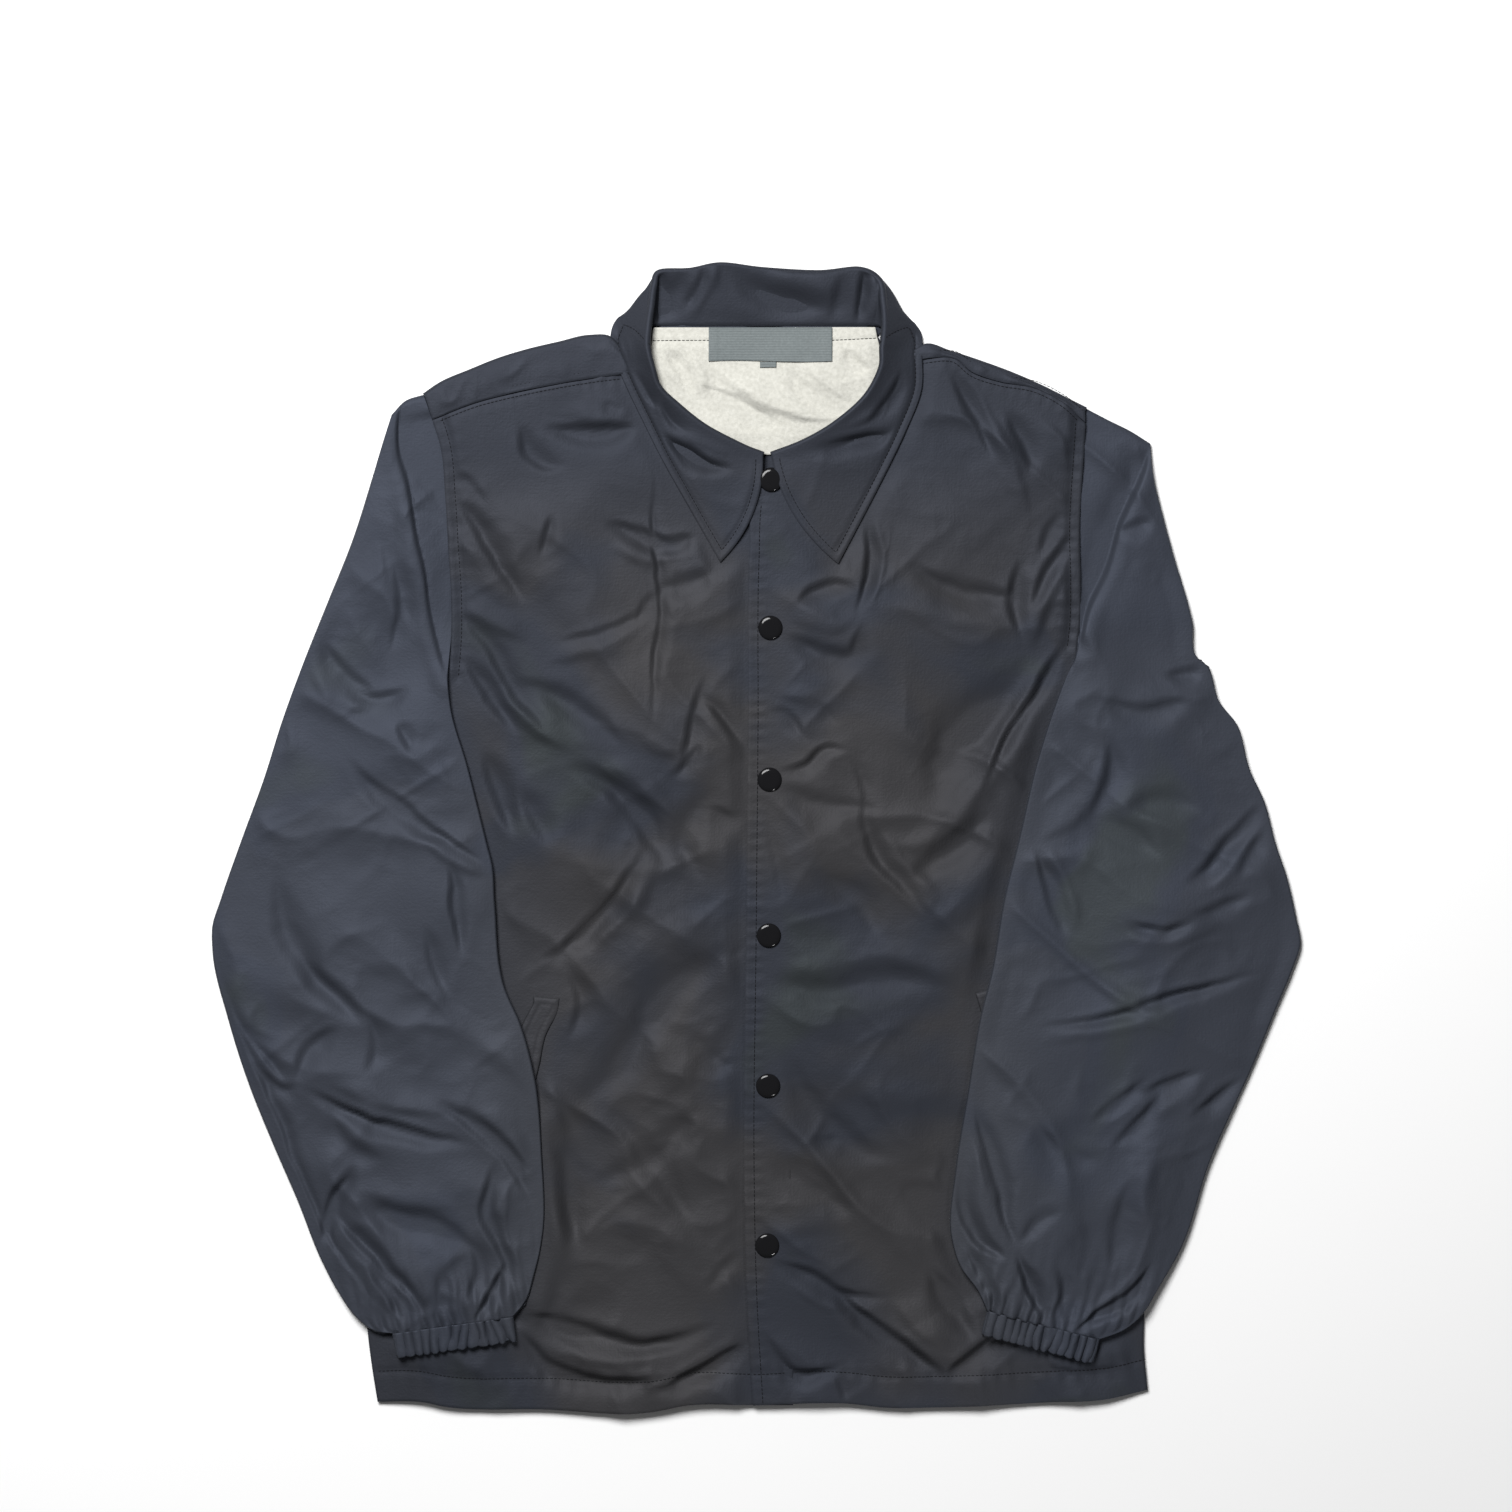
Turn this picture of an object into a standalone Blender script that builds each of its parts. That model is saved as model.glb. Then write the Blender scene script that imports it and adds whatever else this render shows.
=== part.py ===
"""Coach jacket laid flat, front up, sleeves folded down over the fronts.

Run with: blender --background --python part.py
Sizes are in millimetres and are turned into metres when a mesh is made. X is across the
jacket, Y runs up to the collar, Z up from the surface it lies on. The origin is on that
surface, under the middle of the jacket. In the names of the outlines left and right are those
of someone who looks down on the jacket; in the names of the pieces they are the wearer's.
"""

import math

import bmesh
import bpy
import numpy as np

MM = 0.001

# Driving sizes
CLOTH = 1.3
"""Wall of the shell cloth."""
LINING = 1.0
LABEL = 0.8
GAP = 0.35
"""Clearance between pieces that lie on or beside each other."""
SLOPE_ROOM = 0.15
"""More clearance, for the wall's slant where a panel climbs."""
SETTLE_STEP = 0.5
SETTLE_ROUNDS = 30
RASTER = 2.0
"""Spacing of the height map that later pieces are laid on."""
HALF_FLOOR = 400.0
FRONT_LOFT = 2.2
"""Air under a front away from its side seam."""
SIDE_ROLL = 36.0
"""Distance over which a front rises from its side seam."""
SHOULDER_HEIGHT = 4.8
"""Height of the cloth's middle where the back comes forward over the shoulder."""
SLEEVE_LOFT = 3.6
SLEEVE_ROLL = 24.0
"""Distance over which a sleeve's top rises from its folded edges."""
ARMHOLE_LOFT = 2.2
ARMHOLE_FADE = 24.0
CUFF_DEPTH = 15.5
CUFF_HALF_HEIGHT = 2.7
CUFF_GATHERS = 22
GATHER_DEPTH = 0.9
POINTS_PER_GATHER = 4
WELT_LENGTH = 150.0
WELT_WIDTH = 17.0
WELT_SLANT = 17.0
SNAP_RADIUS = 7.9
LABEL_WIDTH = 80.0
LABEL_DEPTH = 22.0
LABEL_CENTRE = (9.0, 319.4)
TAB_WIDTH = 10.5
TAB_DEPTH = 3.6
ROLL_RADIUS = 1.9
"""Radius of the collar's fold."""
NECK_RISE = 1.7
"""How far the back is lifted at the neck, over the collar's fall."""

# Outlines, as (x, y) points from the top down
LEFT_ARMHOLE = [
    (-216, 287), (-210, 270), (-205, 249), (-202, 222), (-202, 200),
    (-199, 170), (-198, 147), (-198, 125), (-200, 104),
]
LEFT_UNDERARM = [(-200, 104), (-203, 88), (-216, 69), (-245, 57)]
RIGHT_ARMHOLE = [
    (214, 278), (213.5, 268), (213, 258), (211, 239), (210, 216), (211, 184),
    (211, 152), (210, 136), (208, 121),
]
RIGHT_UNDERARM = [(208, 121), (212, 95), (225, 71), (249, 57)]
LEFT_SIDE = [(-245, 57), (-251, -120), (-252, -327), (-249, -347), (-246, -367)]
RIGHT_SIDE = [(249, 57), (252, -171), (252, -309), (251, -325), (254, -358)]
FRONT_EDGE = [
    (-1, 229), (-5, 205), (-5, 130), (-6, 50), (-8, -70), (-8.5, -180), (-7, -250), (-2, -369),
]
UNDER_EDGE = [(24, 229), (22, 50), (22, -180), (24, -369)]
LEFT_SLEEVE_OUTER = [
    (-237, 274), (-244, 251), (-250, 232), (-262, 193), (-278, 154), (-294, 115),
    (-308, 76), (-320, 37), (-334, -2), (-348, -41), (-353.5, -61), (-352, -80), (-343, -119),
    (-331, -158), (-315, -197), (-298, -236), (-282, -275), (-272, -295), (-258, -314),
    (-246, -322), (-236, -322),
]
LEFT_SLEEVE_INNER = [
    (-200, 104), (-196, 79), (-193, 62), (-186, 39), (-179, 9), (-173, -14), (-169, -47),
    (-164, -94), (-154, -122), (-148, -143), (-143, -179), (-139, -216), (-138, -253),
    (-139, -271), (-144, -289), (-151, -305), (-157, -311),
]
LEFT_PLEAT = [
    (-231, 284), (-230, 252), (-223, 219), (-219, 193), (-214, 171), (-211, 147),
    (-205, 121), (-200, 104),
]
RIGHT_SLEEVE_OUTER = [
    (256, 254), (256.5, 232), (262, 212), (267, 193), (272, 173),
    (277, 154), (283, 134), (286, 117), (292, 113), (299, 95), (308, 76), (323, 37), (336, -2),
    (347, -41), (353.5, -70), (350, -80), (336, -119), (319, -158), (304, -197), (289, -236),
    (271, -275), (260, -295), (252, -308), (239, -319), (222, -326),
]
RIGHT_SLEEVE_INNER = [
    (208, 121), (200, 100), (194, 85), (186, 67), (181, 46), (176, 22), (171, -2), (164, -28),
    (158, -52), (151, -85), (146, -110), (141, -135), (136, -167), (131, -197), (128, -234),
    (126, -261), (132, -278), (143, -294), (149, -307),
]
RIGHT_PLEAT = [(255, 254), (245, 221), (232, 193), (223, 168), (213, 141), (208, 121)]

# Outlines, as (x, y) points from left to right
LEFT_HEM = [
    (-246, -367), (-186, -370), (-102, -371), (-60, -373), (-43, -370), (0, -369), (24, -369),
]
RIGHT_HEM = [
    (-2, -369), (74, -368), (93, -370), (132, -369), (191, -366), (230, -363), (254, -358),
]
LEFT_SHOULDER_SEAM = [
    (-210, 270), (-193, 275), (-182, 280), (-156, 286), (-134, 293), (-103, 296), (-82, 300),
]
RIGHT_SHOULDER_SEAM = [
    (94, 305), (113, 306), (134, 302), (157, 295.5), (184, 285), (198, 278), (213.5, 268),
]
LEFT_NECK = [(-82, 300), (-76.5, 284), (-60, 264), (-37, 249), (-14, 238), (0, 232), (24, 229)]
RIGHT_NECK = [(-1, 229), (12, 232), (28, 238), (51, 251), (73, 265), (88.5, 284), (94, 305)]
LEFT_BACK_SHOULDER = [
    (-216, 287), (-206, 294), (-186, 303), (-167, 310), (-147, 316), (-128, 321), (-108, 324),
    (-96, 320), (-86, 314),
]
BACK_NECK = [(-86, 314), (-75, 319), (-64, 330.1), (5, 330.3), (73, 330.4), (84, 319), (99, 315)]
RIGHT_BACK_SHOULDER = [
    (99, 315), (110, 320), (126, 315), (145, 308), (165, 301), (184, 293), (198, 285), (214, 278),
]
LEFT_SLEEVE_TOP = [(-237, 274), (-228, 283), (-216, 287)]
RIGHT_SLEEVE_TOP = [(214, 278), (228, 270), (243, 261.5), (256, 254)]
LINING_LOW = [(-60, 270), (-32, 247), (6, 237), (44, 247), (72, 270)]
LINING_TOP = [(-66, 330.4), (5, 330.5), (76, 330.6)]
LINING_LEFT = [(-66, 330.4), (-72, 300), (-60, 270)]
LINING_RIGHT = [(76, 330.6), (84, 300), (72, 270)]

# The largest folds: a soft ridge from (x0, y0) to (x1, y1), its half width and its height
FOLDS = np.array(
    [
        (-120, 130, -30, 60, 20, 2.0),
        (-150, 20, -60, -60, 20, 1.8),
        (-60, -200, -130, -310, 20, 2.2),
        (-130, -322, -40, -346, 16, 2.4),
        (-70, 240, -130, 205, 18, 1.8),
        (60, 60, 150, -40, 20, 2.0),
        (180, 90, 120, -30, 18, 2.4),
        (40, -230, 110, -330, 18, 2.4),
        (110, -330, 150, -290, 16, 1.8),
        (60, 120, 120, 190, 18, 1.8),
        (-290, -150, -200, -235, 20, 2.6),
        (-300, 40, -200, -40, 20, 2.4),
        (-260, -190, -180, -180, 18, 2.2),
        (-270, -265, -200, -300, 16, 1.8),
        (330, -20, 240, -60, 20, 2.4),
        (320, -90, 200, -130, 20, 2.2),
        (290, -180, 220, -250, 18, 2.4),
        (160, -215, 180, -295, 16, 2.0),
        (250, 200, 225, 120, 16, 1.8),
    ],
    dtype=[(n, float) for n in ("x0", "y0", "x1", "y1", "half_width", "height")],
)

# Snap centres down the front edge
SNAPS = [(9.5, 231.5), (9, 135.5), (8.5, 37), (8, -64), (7.5, -161.5), (7, -265)]

# Top inner corners of the two pocket welts
LEFT_WELT = (-129, -107)
RIGHT_WELT = (142, -103)

# Collar sections from the left point round the neck to the right point. The seam is where the
# stand meets the neck, the roll is the fold between stand and fall, and the edge is the fall's
# free edge. under is 0 where that edge lies on the front and 1 where it lies on the floor.
# turn is 0 where the fall lies over the stand, 90 where the collar stands up and 180 behind
# the neck, where the fall is folded under. bulge pushes the fall's middle outwards, and bow
# pushes it along the roll, back towards the section before.
COLLAR = np.array(
    [
        (-2, 241, 3, 249, 6.2, -23.5, 179, 0, 0, 0, 8),
        (-14, 243, -9, 254.5, 7.4, -33, 197, 0, 0, 0, 4),
        (-36, 254.5, -33, 267, 9.4, -45, 219, 0, 0, 0, 1),
        (-57, 268.5, -52, 282, 11.0, -58, 243, 0, 0, 0, 0),
        (-73, 287, -62, 292, 12.5, -71, 270, 0, 0, 0, 0),
        (-78.5, 299, -66, 304, 14.0, -84, 296, 0, 0, 0, 0),
        (-80, 309, -69, 317, 14.5, -93, 315, 0, 20, 0, 0),
        (-76, 321, -69, 329, 14.0, -94.5, 328, 0.2, 50, 1, 0),
        (-69, 330.5, -68, 343, 12.0, -89, 337, 0.7, 80, 3, 0),
        (-64, 331.6, -67, 357, 9.0, -77, 333, 1, 110, 6, 0),
        (-56, 331.6, -63.5, 367, 5.5, -63, 320, 1, 150, 3, 0),
        (-42, 331.6, -43, 368.5, 4.2, -42, 314, 1, 180, 0, 0),
        (-22, 331.6, -23, 372, 4.4, -20, 312, 1, 180, 0, 0),
        (5, 331.6, 4, 369, 4.2, 5, 311, 1, 180, 0, 0),
        (40, 331.8, 40, 367, 4.2, 40, 312, 1, 180, 0, 0),
        (66, 331.8, 67, 369, 5.5, 70, 320, 1, 155, 2, 0),
        (75, 331.8, 80, 361, 8.5, 87, 331, 1, 115, 5, 0),
        (81, 330.5, 82, 346, 12.0, 99, 335, 0.7, 80, 3, 0),
        (88, 321, 82, 331, 14.0, 107, 327, 0.2, 50, 1, 0),
        (92, 312, 80, 317, 14.5, 107, 312, 0, 20, 0, 0),
        (91.5, 300, 79, 303, 14.0, 102, 289, 0, 0, 0, 0),
        (85, 287, 69, 285, 12.5, 92, 264, 0, 0, 0, 0),
        (71, 269, 50, 268.5, 11.0, 80, 238, 0, 0, 0, 0),
        (49, 255, 30, 257, 9.0, 68, 213, 0, 0, 0, -4),
        (27, 243, 10, 249, 6.6, 51.5, 178, 0, 0, 0, -8),
    ],
    dtype=[
        (n, float)
        for n in (
            "seam_x", "seam_y", "roll_x", "roll_y", "roll_z",
            "edge_x", "edge_y", "under", "turn", "bulge", "bow",
        )
    ],
)


# Curves and grids


def along(points, count):
    """count points, evenly spaced along a Catmull-Rom curve through the given ones."""
    p = np.asarray(points, float)
    p = np.vstack([2 * p[0] - p[1], p, 2 * p[-1] - p[-2]])
    t = np.linspace(0, 1, 9)[:-1, None]
    runs = [
        0.5
        * (
            2 * b
            + (c - a) * t
            + (2 * a - 5 * b + 4 * c - d) * t**2
            + (3 * b - a - 3 * c + d) * t**3
        )
        for a, b, c, d in zip(p, p[1:], p[2:], p[3:])
    ]
    curve = np.vstack(runs + [p[-2:-1]])
    length = np.concatenate([[0], np.cumsum(np.linalg.norm(np.diff(curve, axis=0), axis=1))])
    even = np.linspace(0, length[-1], count)
    return np.stack([np.interp(even, length, curve[:, k]) for k in range(curve.shape[1])], axis=1)


def shifted(points, dx, dy=0.0):
    return [(x + dx, y + dy) for x, y in points]


def coons(left, right, low, top, crowd=0.0):
    """Grid of plan points between four edges, rows from the low edge to the top edge.

    crowd from 0 to 1 draws the columns towards the left and right edges.
    """
    s = np.linspace(0, 1, len(low))
    s = (1 - crowd) * s + crowd * 0.5 * (1 - np.cos(np.pi * s))
    even = np.linspace(0, 1, len(low))
    low = np.stack([np.interp(s, even, low[:, k]) for k in (0, 1)], axis=1)
    top = np.stack([np.interp(s, even, top[:, k]) for k in (0, 1)], axis=1)
    u = s[None, :, None]
    v = np.linspace(0, 1, len(left))[:, None, None]
    corners = (
        (1 - u) * (1 - v) * low[0] + u * (1 - v) * low[-1] + (1 - u) * v * top[0] + u * v * top[-1]
    )
    sides = (1 - u) * left[:, None] + u * right[:, None]
    return sides + (1 - v) * low[None] + v * top[None] - corners


def distance(points, line):
    """Distance of each plan point from a polyline."""
    line = np.asarray(line, float)
    best = np.full(points.shape[:-1], np.inf)
    for a, b in zip(line, line[1:]):
        t = np.clip(((points - a) @ (b - a)) / ((b - a) @ (b - a)), 0, 1)
        best = np.minimum(best, np.linalg.norm(points - a - t[..., None] * (b - a), axis=-1))
    return best


def smooth(t):
    t = np.clip(t, 0, 1)
    return t * t * (3 - 2 * t)


def roll_off(d, width):
    """Rise of a folded edge: a quarter of an ellipse from 0 at the edge to 1 at width."""
    return np.sqrt(1 - (1 - np.clip(d / width, 0, 1)) ** 2)


def folds(plan):
    """Height of the largest folds at each plan point."""
    z = np.zeros(plan.shape[:-1])
    for f in FOLDS:
        a = np.array([f["x0"], f["y0"]])
        b = np.array([f["x1"], f["y1"]])
        t = ((plan - a) @ (b - a)) / ((b - a) @ (b - a))
        off = np.linalg.norm(plan - a - np.clip(t, 0, 1)[..., None] * (b - a), axis=-1)
        z = np.maximum(z, f["height"] * smooth(1 - off / f["half_width"]))
    return z


# Laying one piece on others


def fine(grid):
    """Points inside every cell of a grid, with the weights of the cell's four corners."""
    steps = 14
    a, b = np.meshgrid(np.linspace(0, 1, steps), np.linspace(0, 1, steps))
    upper = b > a
    weights = np.stack(
        [
            np.where(upper, 1 - b, 1 - a),
            np.where(upper, 0, a - b),
            np.where(upper, a, b),
            np.where(upper, b - a, 0),
        ]
    )
    corners = np.stack([grid[:-1, :-1], grid[:-1, 1:], grid[1:, 1:], grid[1:, :-1]])
    return np.einsum("crsk,cab->rsabk", corners, weights), weights


def cells(points):
    return np.clip((points + HALF_FLOOR) / RASTER, 0, 2 * HALF_FLOOR / RASTER - 1)


def height_map(*grids):
    """Highest point of the given surfaces over each square of the floor."""
    count = int(2 * HALF_FLOOR / RASTER) + 1
    heights = np.zeros((count, count))
    for grid in grids:
        points = fine(grid)[0].reshape(-1, 3)
        ij = np.rint(cells(points[:, :2])).astype(int)
        np.maximum.at(heights, (ij[:, 0], ij[:, 1]), points[:, 2])
    return heights


def height_at(heights, plan):
    """Highest of the four squares round each plan point."""
    ij = np.floor(cells(plan)).astype(int)
    i, j = ij[..., 0], ij[..., 1]
    near = [heights[i, j], heights[i + 1, j], heights[i, j + 1], heights[i + 1, j + 1]]
    return np.max(near, axis=0)


def laid(plan, heights, room):
    """A grid of plan points laid flat on the heights."""
    return settle(with_height(plan, height_at(heights, plan) + room), heights, room)


def settle(grid, heights, room, below=np.inf):
    """Lift a grid until every cell clears the heights by room, where y is under below."""
    grid = grid.copy()
    for _ in range(SETTLE_ROUNDS):
        points, weights = fine(grid)
        lack = height_at(heights, points[..., :2]) + room - points[..., 2]
        lack = np.where(points[..., 1] < below, np.maximum(lack, 0), 0)
        if lack.max() < 0.02:
            break
        share = SETTLE_STEP * weights / (weights**2).sum(axis=0)
        lift = (lack[None] * share[:, None, None]).max(axis=(-1, -2))
        lifted = np.zeros(grid.shape[:2])
        for view, amount in zip(
            (lifted[:-1, :-1], lifted[:-1, 1:], lifted[1:, 1:], lifted[1:, :-1]), lift
        ):
            np.maximum(view, amount, out=view)
        grid[..., 2] += lifted
    return grid


def normals(grid):
    across = np.gradient(grid, axis=1)
    up = np.gradient(grid, axis=0)
    n = np.cross(across, up)
    return n / np.linalg.norm(n, axis=-1, keepdims=True)


def upper_side(grid, wall):
    return grid + normals(grid) * wall / 2


def with_height(plan, z):
    return np.dstack([plan, np.broadcast_to(z, plan.shape[:2])])


def higher(*maps):
    return np.maximum.reduce(maps)


# Making objects


def material(name, colour, roughness, metallic=0.0):
    found = bpy.data.materials.get(name)
    if found:
        return found
    made = bpy.data.materials.new(name)
    made.use_nodes = True
    shader = made.node_tree.nodes["Principled BSDF"]
    shader.inputs["Base Color"].default_value = (*colour, 1)
    shader.inputs["Roughness"].default_value = roughness
    shader.inputs["Metallic"].default_value = metallic
    made.diffuse_color = (*colour, 1)
    return made


def body_nylon():
    return material("body_nylon", (0.045, 0.045, 0.048), 0.5)


def sleeve_nylon():
    return material("sleeve_nylon", (0.042, 0.045, 0.058), 0.48)


def cream_flannel():
    return material("cream_flannel", (0.72, 0.70, 0.64), 0.9)


def woven_label():
    return material("woven_label", (0.20, 0.225, 0.235), 0.75)


def black_enamel():
    return material("black_enamel", (0.012, 0.012, 0.013), 0.18)


def add_object(name, mesh, finish, collection):
    mesh.materials.append(finish)
    made = bpy.data.objects.new(name, mesh)
    collection.objects.link(made)
    return made


def add_panel(name, grids, wall, finish, collection):
    """A cloth wall about one or more grids that share their edge points."""
    mesh = bpy.data.meshes.new(name)
    bm = bmesh.new()
    for grid in grids:
        rows, columns = grid.shape[:2]
        verts = [bm.verts.new(p * MM) for p in grid.reshape(-1, 3)]
        for r in range(rows - 1):
            for c in range(columns - 1):
                k = r * columns + c
                a, b = verts[k], verts[k + 1]
                d, e = verts[k + columns], verts[k + columns + 1]
                bm.faces.new((a, b, e))
                bm.faces.new((a, e, d))
    bmesh.ops.remove_doubles(bm, verts=bm.verts, dist=0.02 * MM)
    bm.to_mesh(mesh)
    bm.free()
    made = add_object(name, mesh, finish, collection)
    solid = made.modifiers.new("Wall", "SOLIDIFY")
    solid.thickness = wall * MM
    solid.offset = 0.0
    return made


# The pieces


def neck_rise(plan):
    """Lift of the back where the collar's fall lies under it."""
    x, y = plan[..., 0], plan[..., 1]
    return NECK_RISE * smooth((y - 252) / 36) * smooth((x + 118) / 24) * smooth((130 - x) / 24)


def shoulder_strip(top_edge, seam):
    """The back's stretch that rolls over the shoulder and comes forward to its seam."""
    tangent = np.gradient(top_edge, axis=0)
    outward = np.stack([-tangent[:, 1], tangent[:, 0]], axis=1)
    outward /= np.linalg.norm(outward, axis=1, keepdims=True)
    floor = CLOTH / 2 + neck_rise(top_edge)
    radius = (SHOULDER_HEIGHT - floor) / 2
    rows = []
    for angle in np.radians([-90, -45, 0, 45, 90]):
        plan = top_edge + outward * (radius * math.cos(angle))[:, None]
        rows.append(np.column_stack([plan, floor + radius * (1 + math.sin(angle))]))
    crest = rows[-1]
    for t in (0.5, 1.0):
        plan = (1 - t) * crest[:, :2] + t * seam
        rows.append(np.column_stack([plan, crest[:, 2]]))
    return np.array(rows)


def fold_line(points, count):
    """Outline of a folded edge, drawn in so that the fold's outside comes to the outline."""
    line = along(points, count)
    tangent = np.gradient(line, axis=0)
    outward = np.stack([-tangent[:, 1], tangent[:, 0]], axis=1)
    outward /= np.linalg.norm(outward, axis=1, keepdims=True)
    return line - outward * (SHOULDER_HEIGHT + CLOTH) / 2


def add_back(collection):
    shoulder, rows = 7, 25
    left_top = fold_line(LEFT_BACK_SHOULDER, shoulder)
    right_top = fold_line(RIGHT_BACK_SHOULDER, shoulder)
    neck = along([left_top[-1]] + BACK_NECK[1:-1] + [right_top[0]], 9)
    top = np.vstack([left_top, neck[1:-1], right_top])
    left = [tuple(left_top[0])] + LEFT_ARMHOLE[1:-1] + LEFT_UNDERARM[:-1] + LEFT_SIDE
    right = [tuple(right_top[-1])] + RIGHT_ARMHOLE[1:-1] + RIGHT_UNDERARM[:-1] + RIGHT_SIDE
    low = along(LEFT_HEM[:-2] + RIGHT_HEM[1:], len(top))
    plan = coons(along(left[::-1], rows), along(right[::-1], rows), low, top)
    main = with_height(plan, CLOTH / 2 + neck_rise(plan))
    strips = [
        shoulder_strip(left_top, along(LEFT_SHOULDER_SEAM, shoulder) + (0, 2 * GAP)),
        shoulder_strip(right_top, along(RIGHT_SHOULDER_SEAM, shoulder) + (0, 2 * GAP)),
    ]
    add_panel("back", [main] + strips, CLOTH, body_nylon(), collection)
    crests = [strip + (0, 0, CLOTH / 2) for strip in strips]
    return height_map(upper_side(main, CLOTH)), height_map(*crests)


def add_lining(collection, back):
    plan = coons(
        along(LINING_LEFT[::-1], 7), along(LINING_RIGHT[::-1], 7), along(LINING_LOW, 9),
        along(LINING_TOP, 9),
    )
    grid = laid(plan, back, GAP + LINING / 2 + SLOPE_ROOM)
    add_panel("back_lining", [grid], LINING, cream_flannel(), collection)
    return height_map(upper_side(grid, LINING))


def add_patch(name, centre, width, depth, heights, collection):
    """A small rectangle of woven label cloth."""
    x = centre[0] + width * np.linspace(-0.5, 0.5, 5)
    y = centre[1] + depth * np.linspace(-0.5, 0.5, 3)
    plan = np.dstack(np.meshgrid(x, y))
    grid = laid(plan, heights, GAP + LABEL / 2 + SLOPE_ROOM)
    add_panel(name, [grid], LABEL, woven_label(), collection)


def add_front(name, edges, side, armhole, shoulder, heights, collection):
    plan = coons(*edges)
    x, y = plan[..., 0], plan[..., 1]
    loft = FRONT_LOFT * roll_off(distance(plan, side), SIDE_ROLL)
    crown = folds(plan) * smooth(distance(plan, side) / SIDE_ROLL)
    crown *= smooth(distance(plan, armhole) / SIDE_ROLL)
    rise = (SHOULDER_HEIGHT - 1.5 * CLOTH - GAP - FRONT_LOFT) * smooth(
        1 - distance(plan, shoulder) / SIDE_ROLL
    )
    z = 1.5 * CLOTH + GAP + loft + crown * smooth((y + 372) / 30) + rise
    grid = settle(with_height(plan, z), heights, GAP + CLOTH / 2 + SLOPE_ROOM)
    add_panel(name, [grid], CLOTH, body_nylon(), collection)
    return height_map(upper_side(grid, CLOTH))


def add_fronts(collection, below):
    """The two fronts; the one on the right laps over the other."""
    rows, columns = 32, 13
    left_side = (LEFT_ARMHOLE[1:] + LEFT_UNDERARM[1:] + LEFT_SIDE[1:])[::-1]
    left_top = LEFT_SHOULDER_SEAM + LEFT_NECK[1:]
    under = add_front(
        "front_right",
        (
            along(left_side, rows), along(UNDER_EDGE[::-1], rows),
            along(LEFT_HEM, columns), along(left_top, columns),
        ),
        LEFT_SIDE, LEFT_ARMHOLE, LEFT_SHOULDER_SEAM, below, collection,
    )
    right_side = (RIGHT_ARMHOLE[1:] + RIGHT_UNDERARM[1:] + RIGHT_SIDE[1:])[::-1]
    right_top = RIGHT_NECK + RIGHT_SHOULDER_SEAM[1:]
    over = add_front(
        "front_left",
        (
            along(FRONT_EDGE[::-1], rows), along(right_side, rows),
            along(RIGHT_HEM, columns), along(right_top, columns),
        ),
        RIGHT_SIDE, RIGHT_ARMHOLE, RIGHT_SHOULDER_SEAM, higher(below, under), collection,
    )
    return higher(under, over)


def add_welt(name, corner, side, fronts, collection):
    """A pocket welt, slanting outwards and down; side is -1 on the left and 1 on the right."""
    slant = math.radians(WELT_SLANT)
    down = np.array([side * math.sin(slant), -math.cos(slant)])
    out = np.array([side * math.cos(slant), math.sin(slant)])
    s = np.linspace(0, 1, 3)[None, :, None] * WELT_WIDTH
    t = np.linspace(1, 0, 9)[:, None, None] * WELT_LENGTH
    plan = np.array(corner) + out * s + down * t
    if side < 0:
        plan = plan[:, ::-1]
    grid = laid(plan, fronts, GAP + CLOTH / 2 + SLOPE_ROOM)
    add_panel(name, [grid], CLOTH, body_nylon(), collection)
    return height_map(upper_side(grid, CLOTH))


def add_snap(name, centre, heights, collection):
    """A snap's domed cap, turned about its own axis, on the cloth. Returns its height map."""
    plan = np.array(centre) + SNAP_RADIUS * np.dstack(
        np.meshgrid(np.linspace(-1, 1, 9), np.linspace(-1, 1, 9))
    )
    base = height_at(heights, plan).max() + GAP
    profile = [(0.0, 2.7), (4.4, 2.3), (7.0, 1.4), (SNAP_RADIUS, 0.6), (7.2, 0.0), (0.0, 0.0)]
    mesh = bpy.data.meshes.new(name)
    mesh.from_pydata(
        [(r * MM, 0, z * MM) for r, z in profile],
        [(k, k + 1) for k in range(len(profile) - 1)],
        [],
    )
    made = add_object(name, mesh, black_enamel(), collection)
    made.location = (centre[0] * MM, centre[1] * MM, base * MM)
    turn = made.modifiers.new("Turn", "SCREW")
    turn.steps = 18
    turn.render_steps = 18
    turn.use_merge_vertices = True
    turn.merge_threshold = 0.00001
    return height_map(with_height(plan, base + profile[0][1]))


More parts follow.
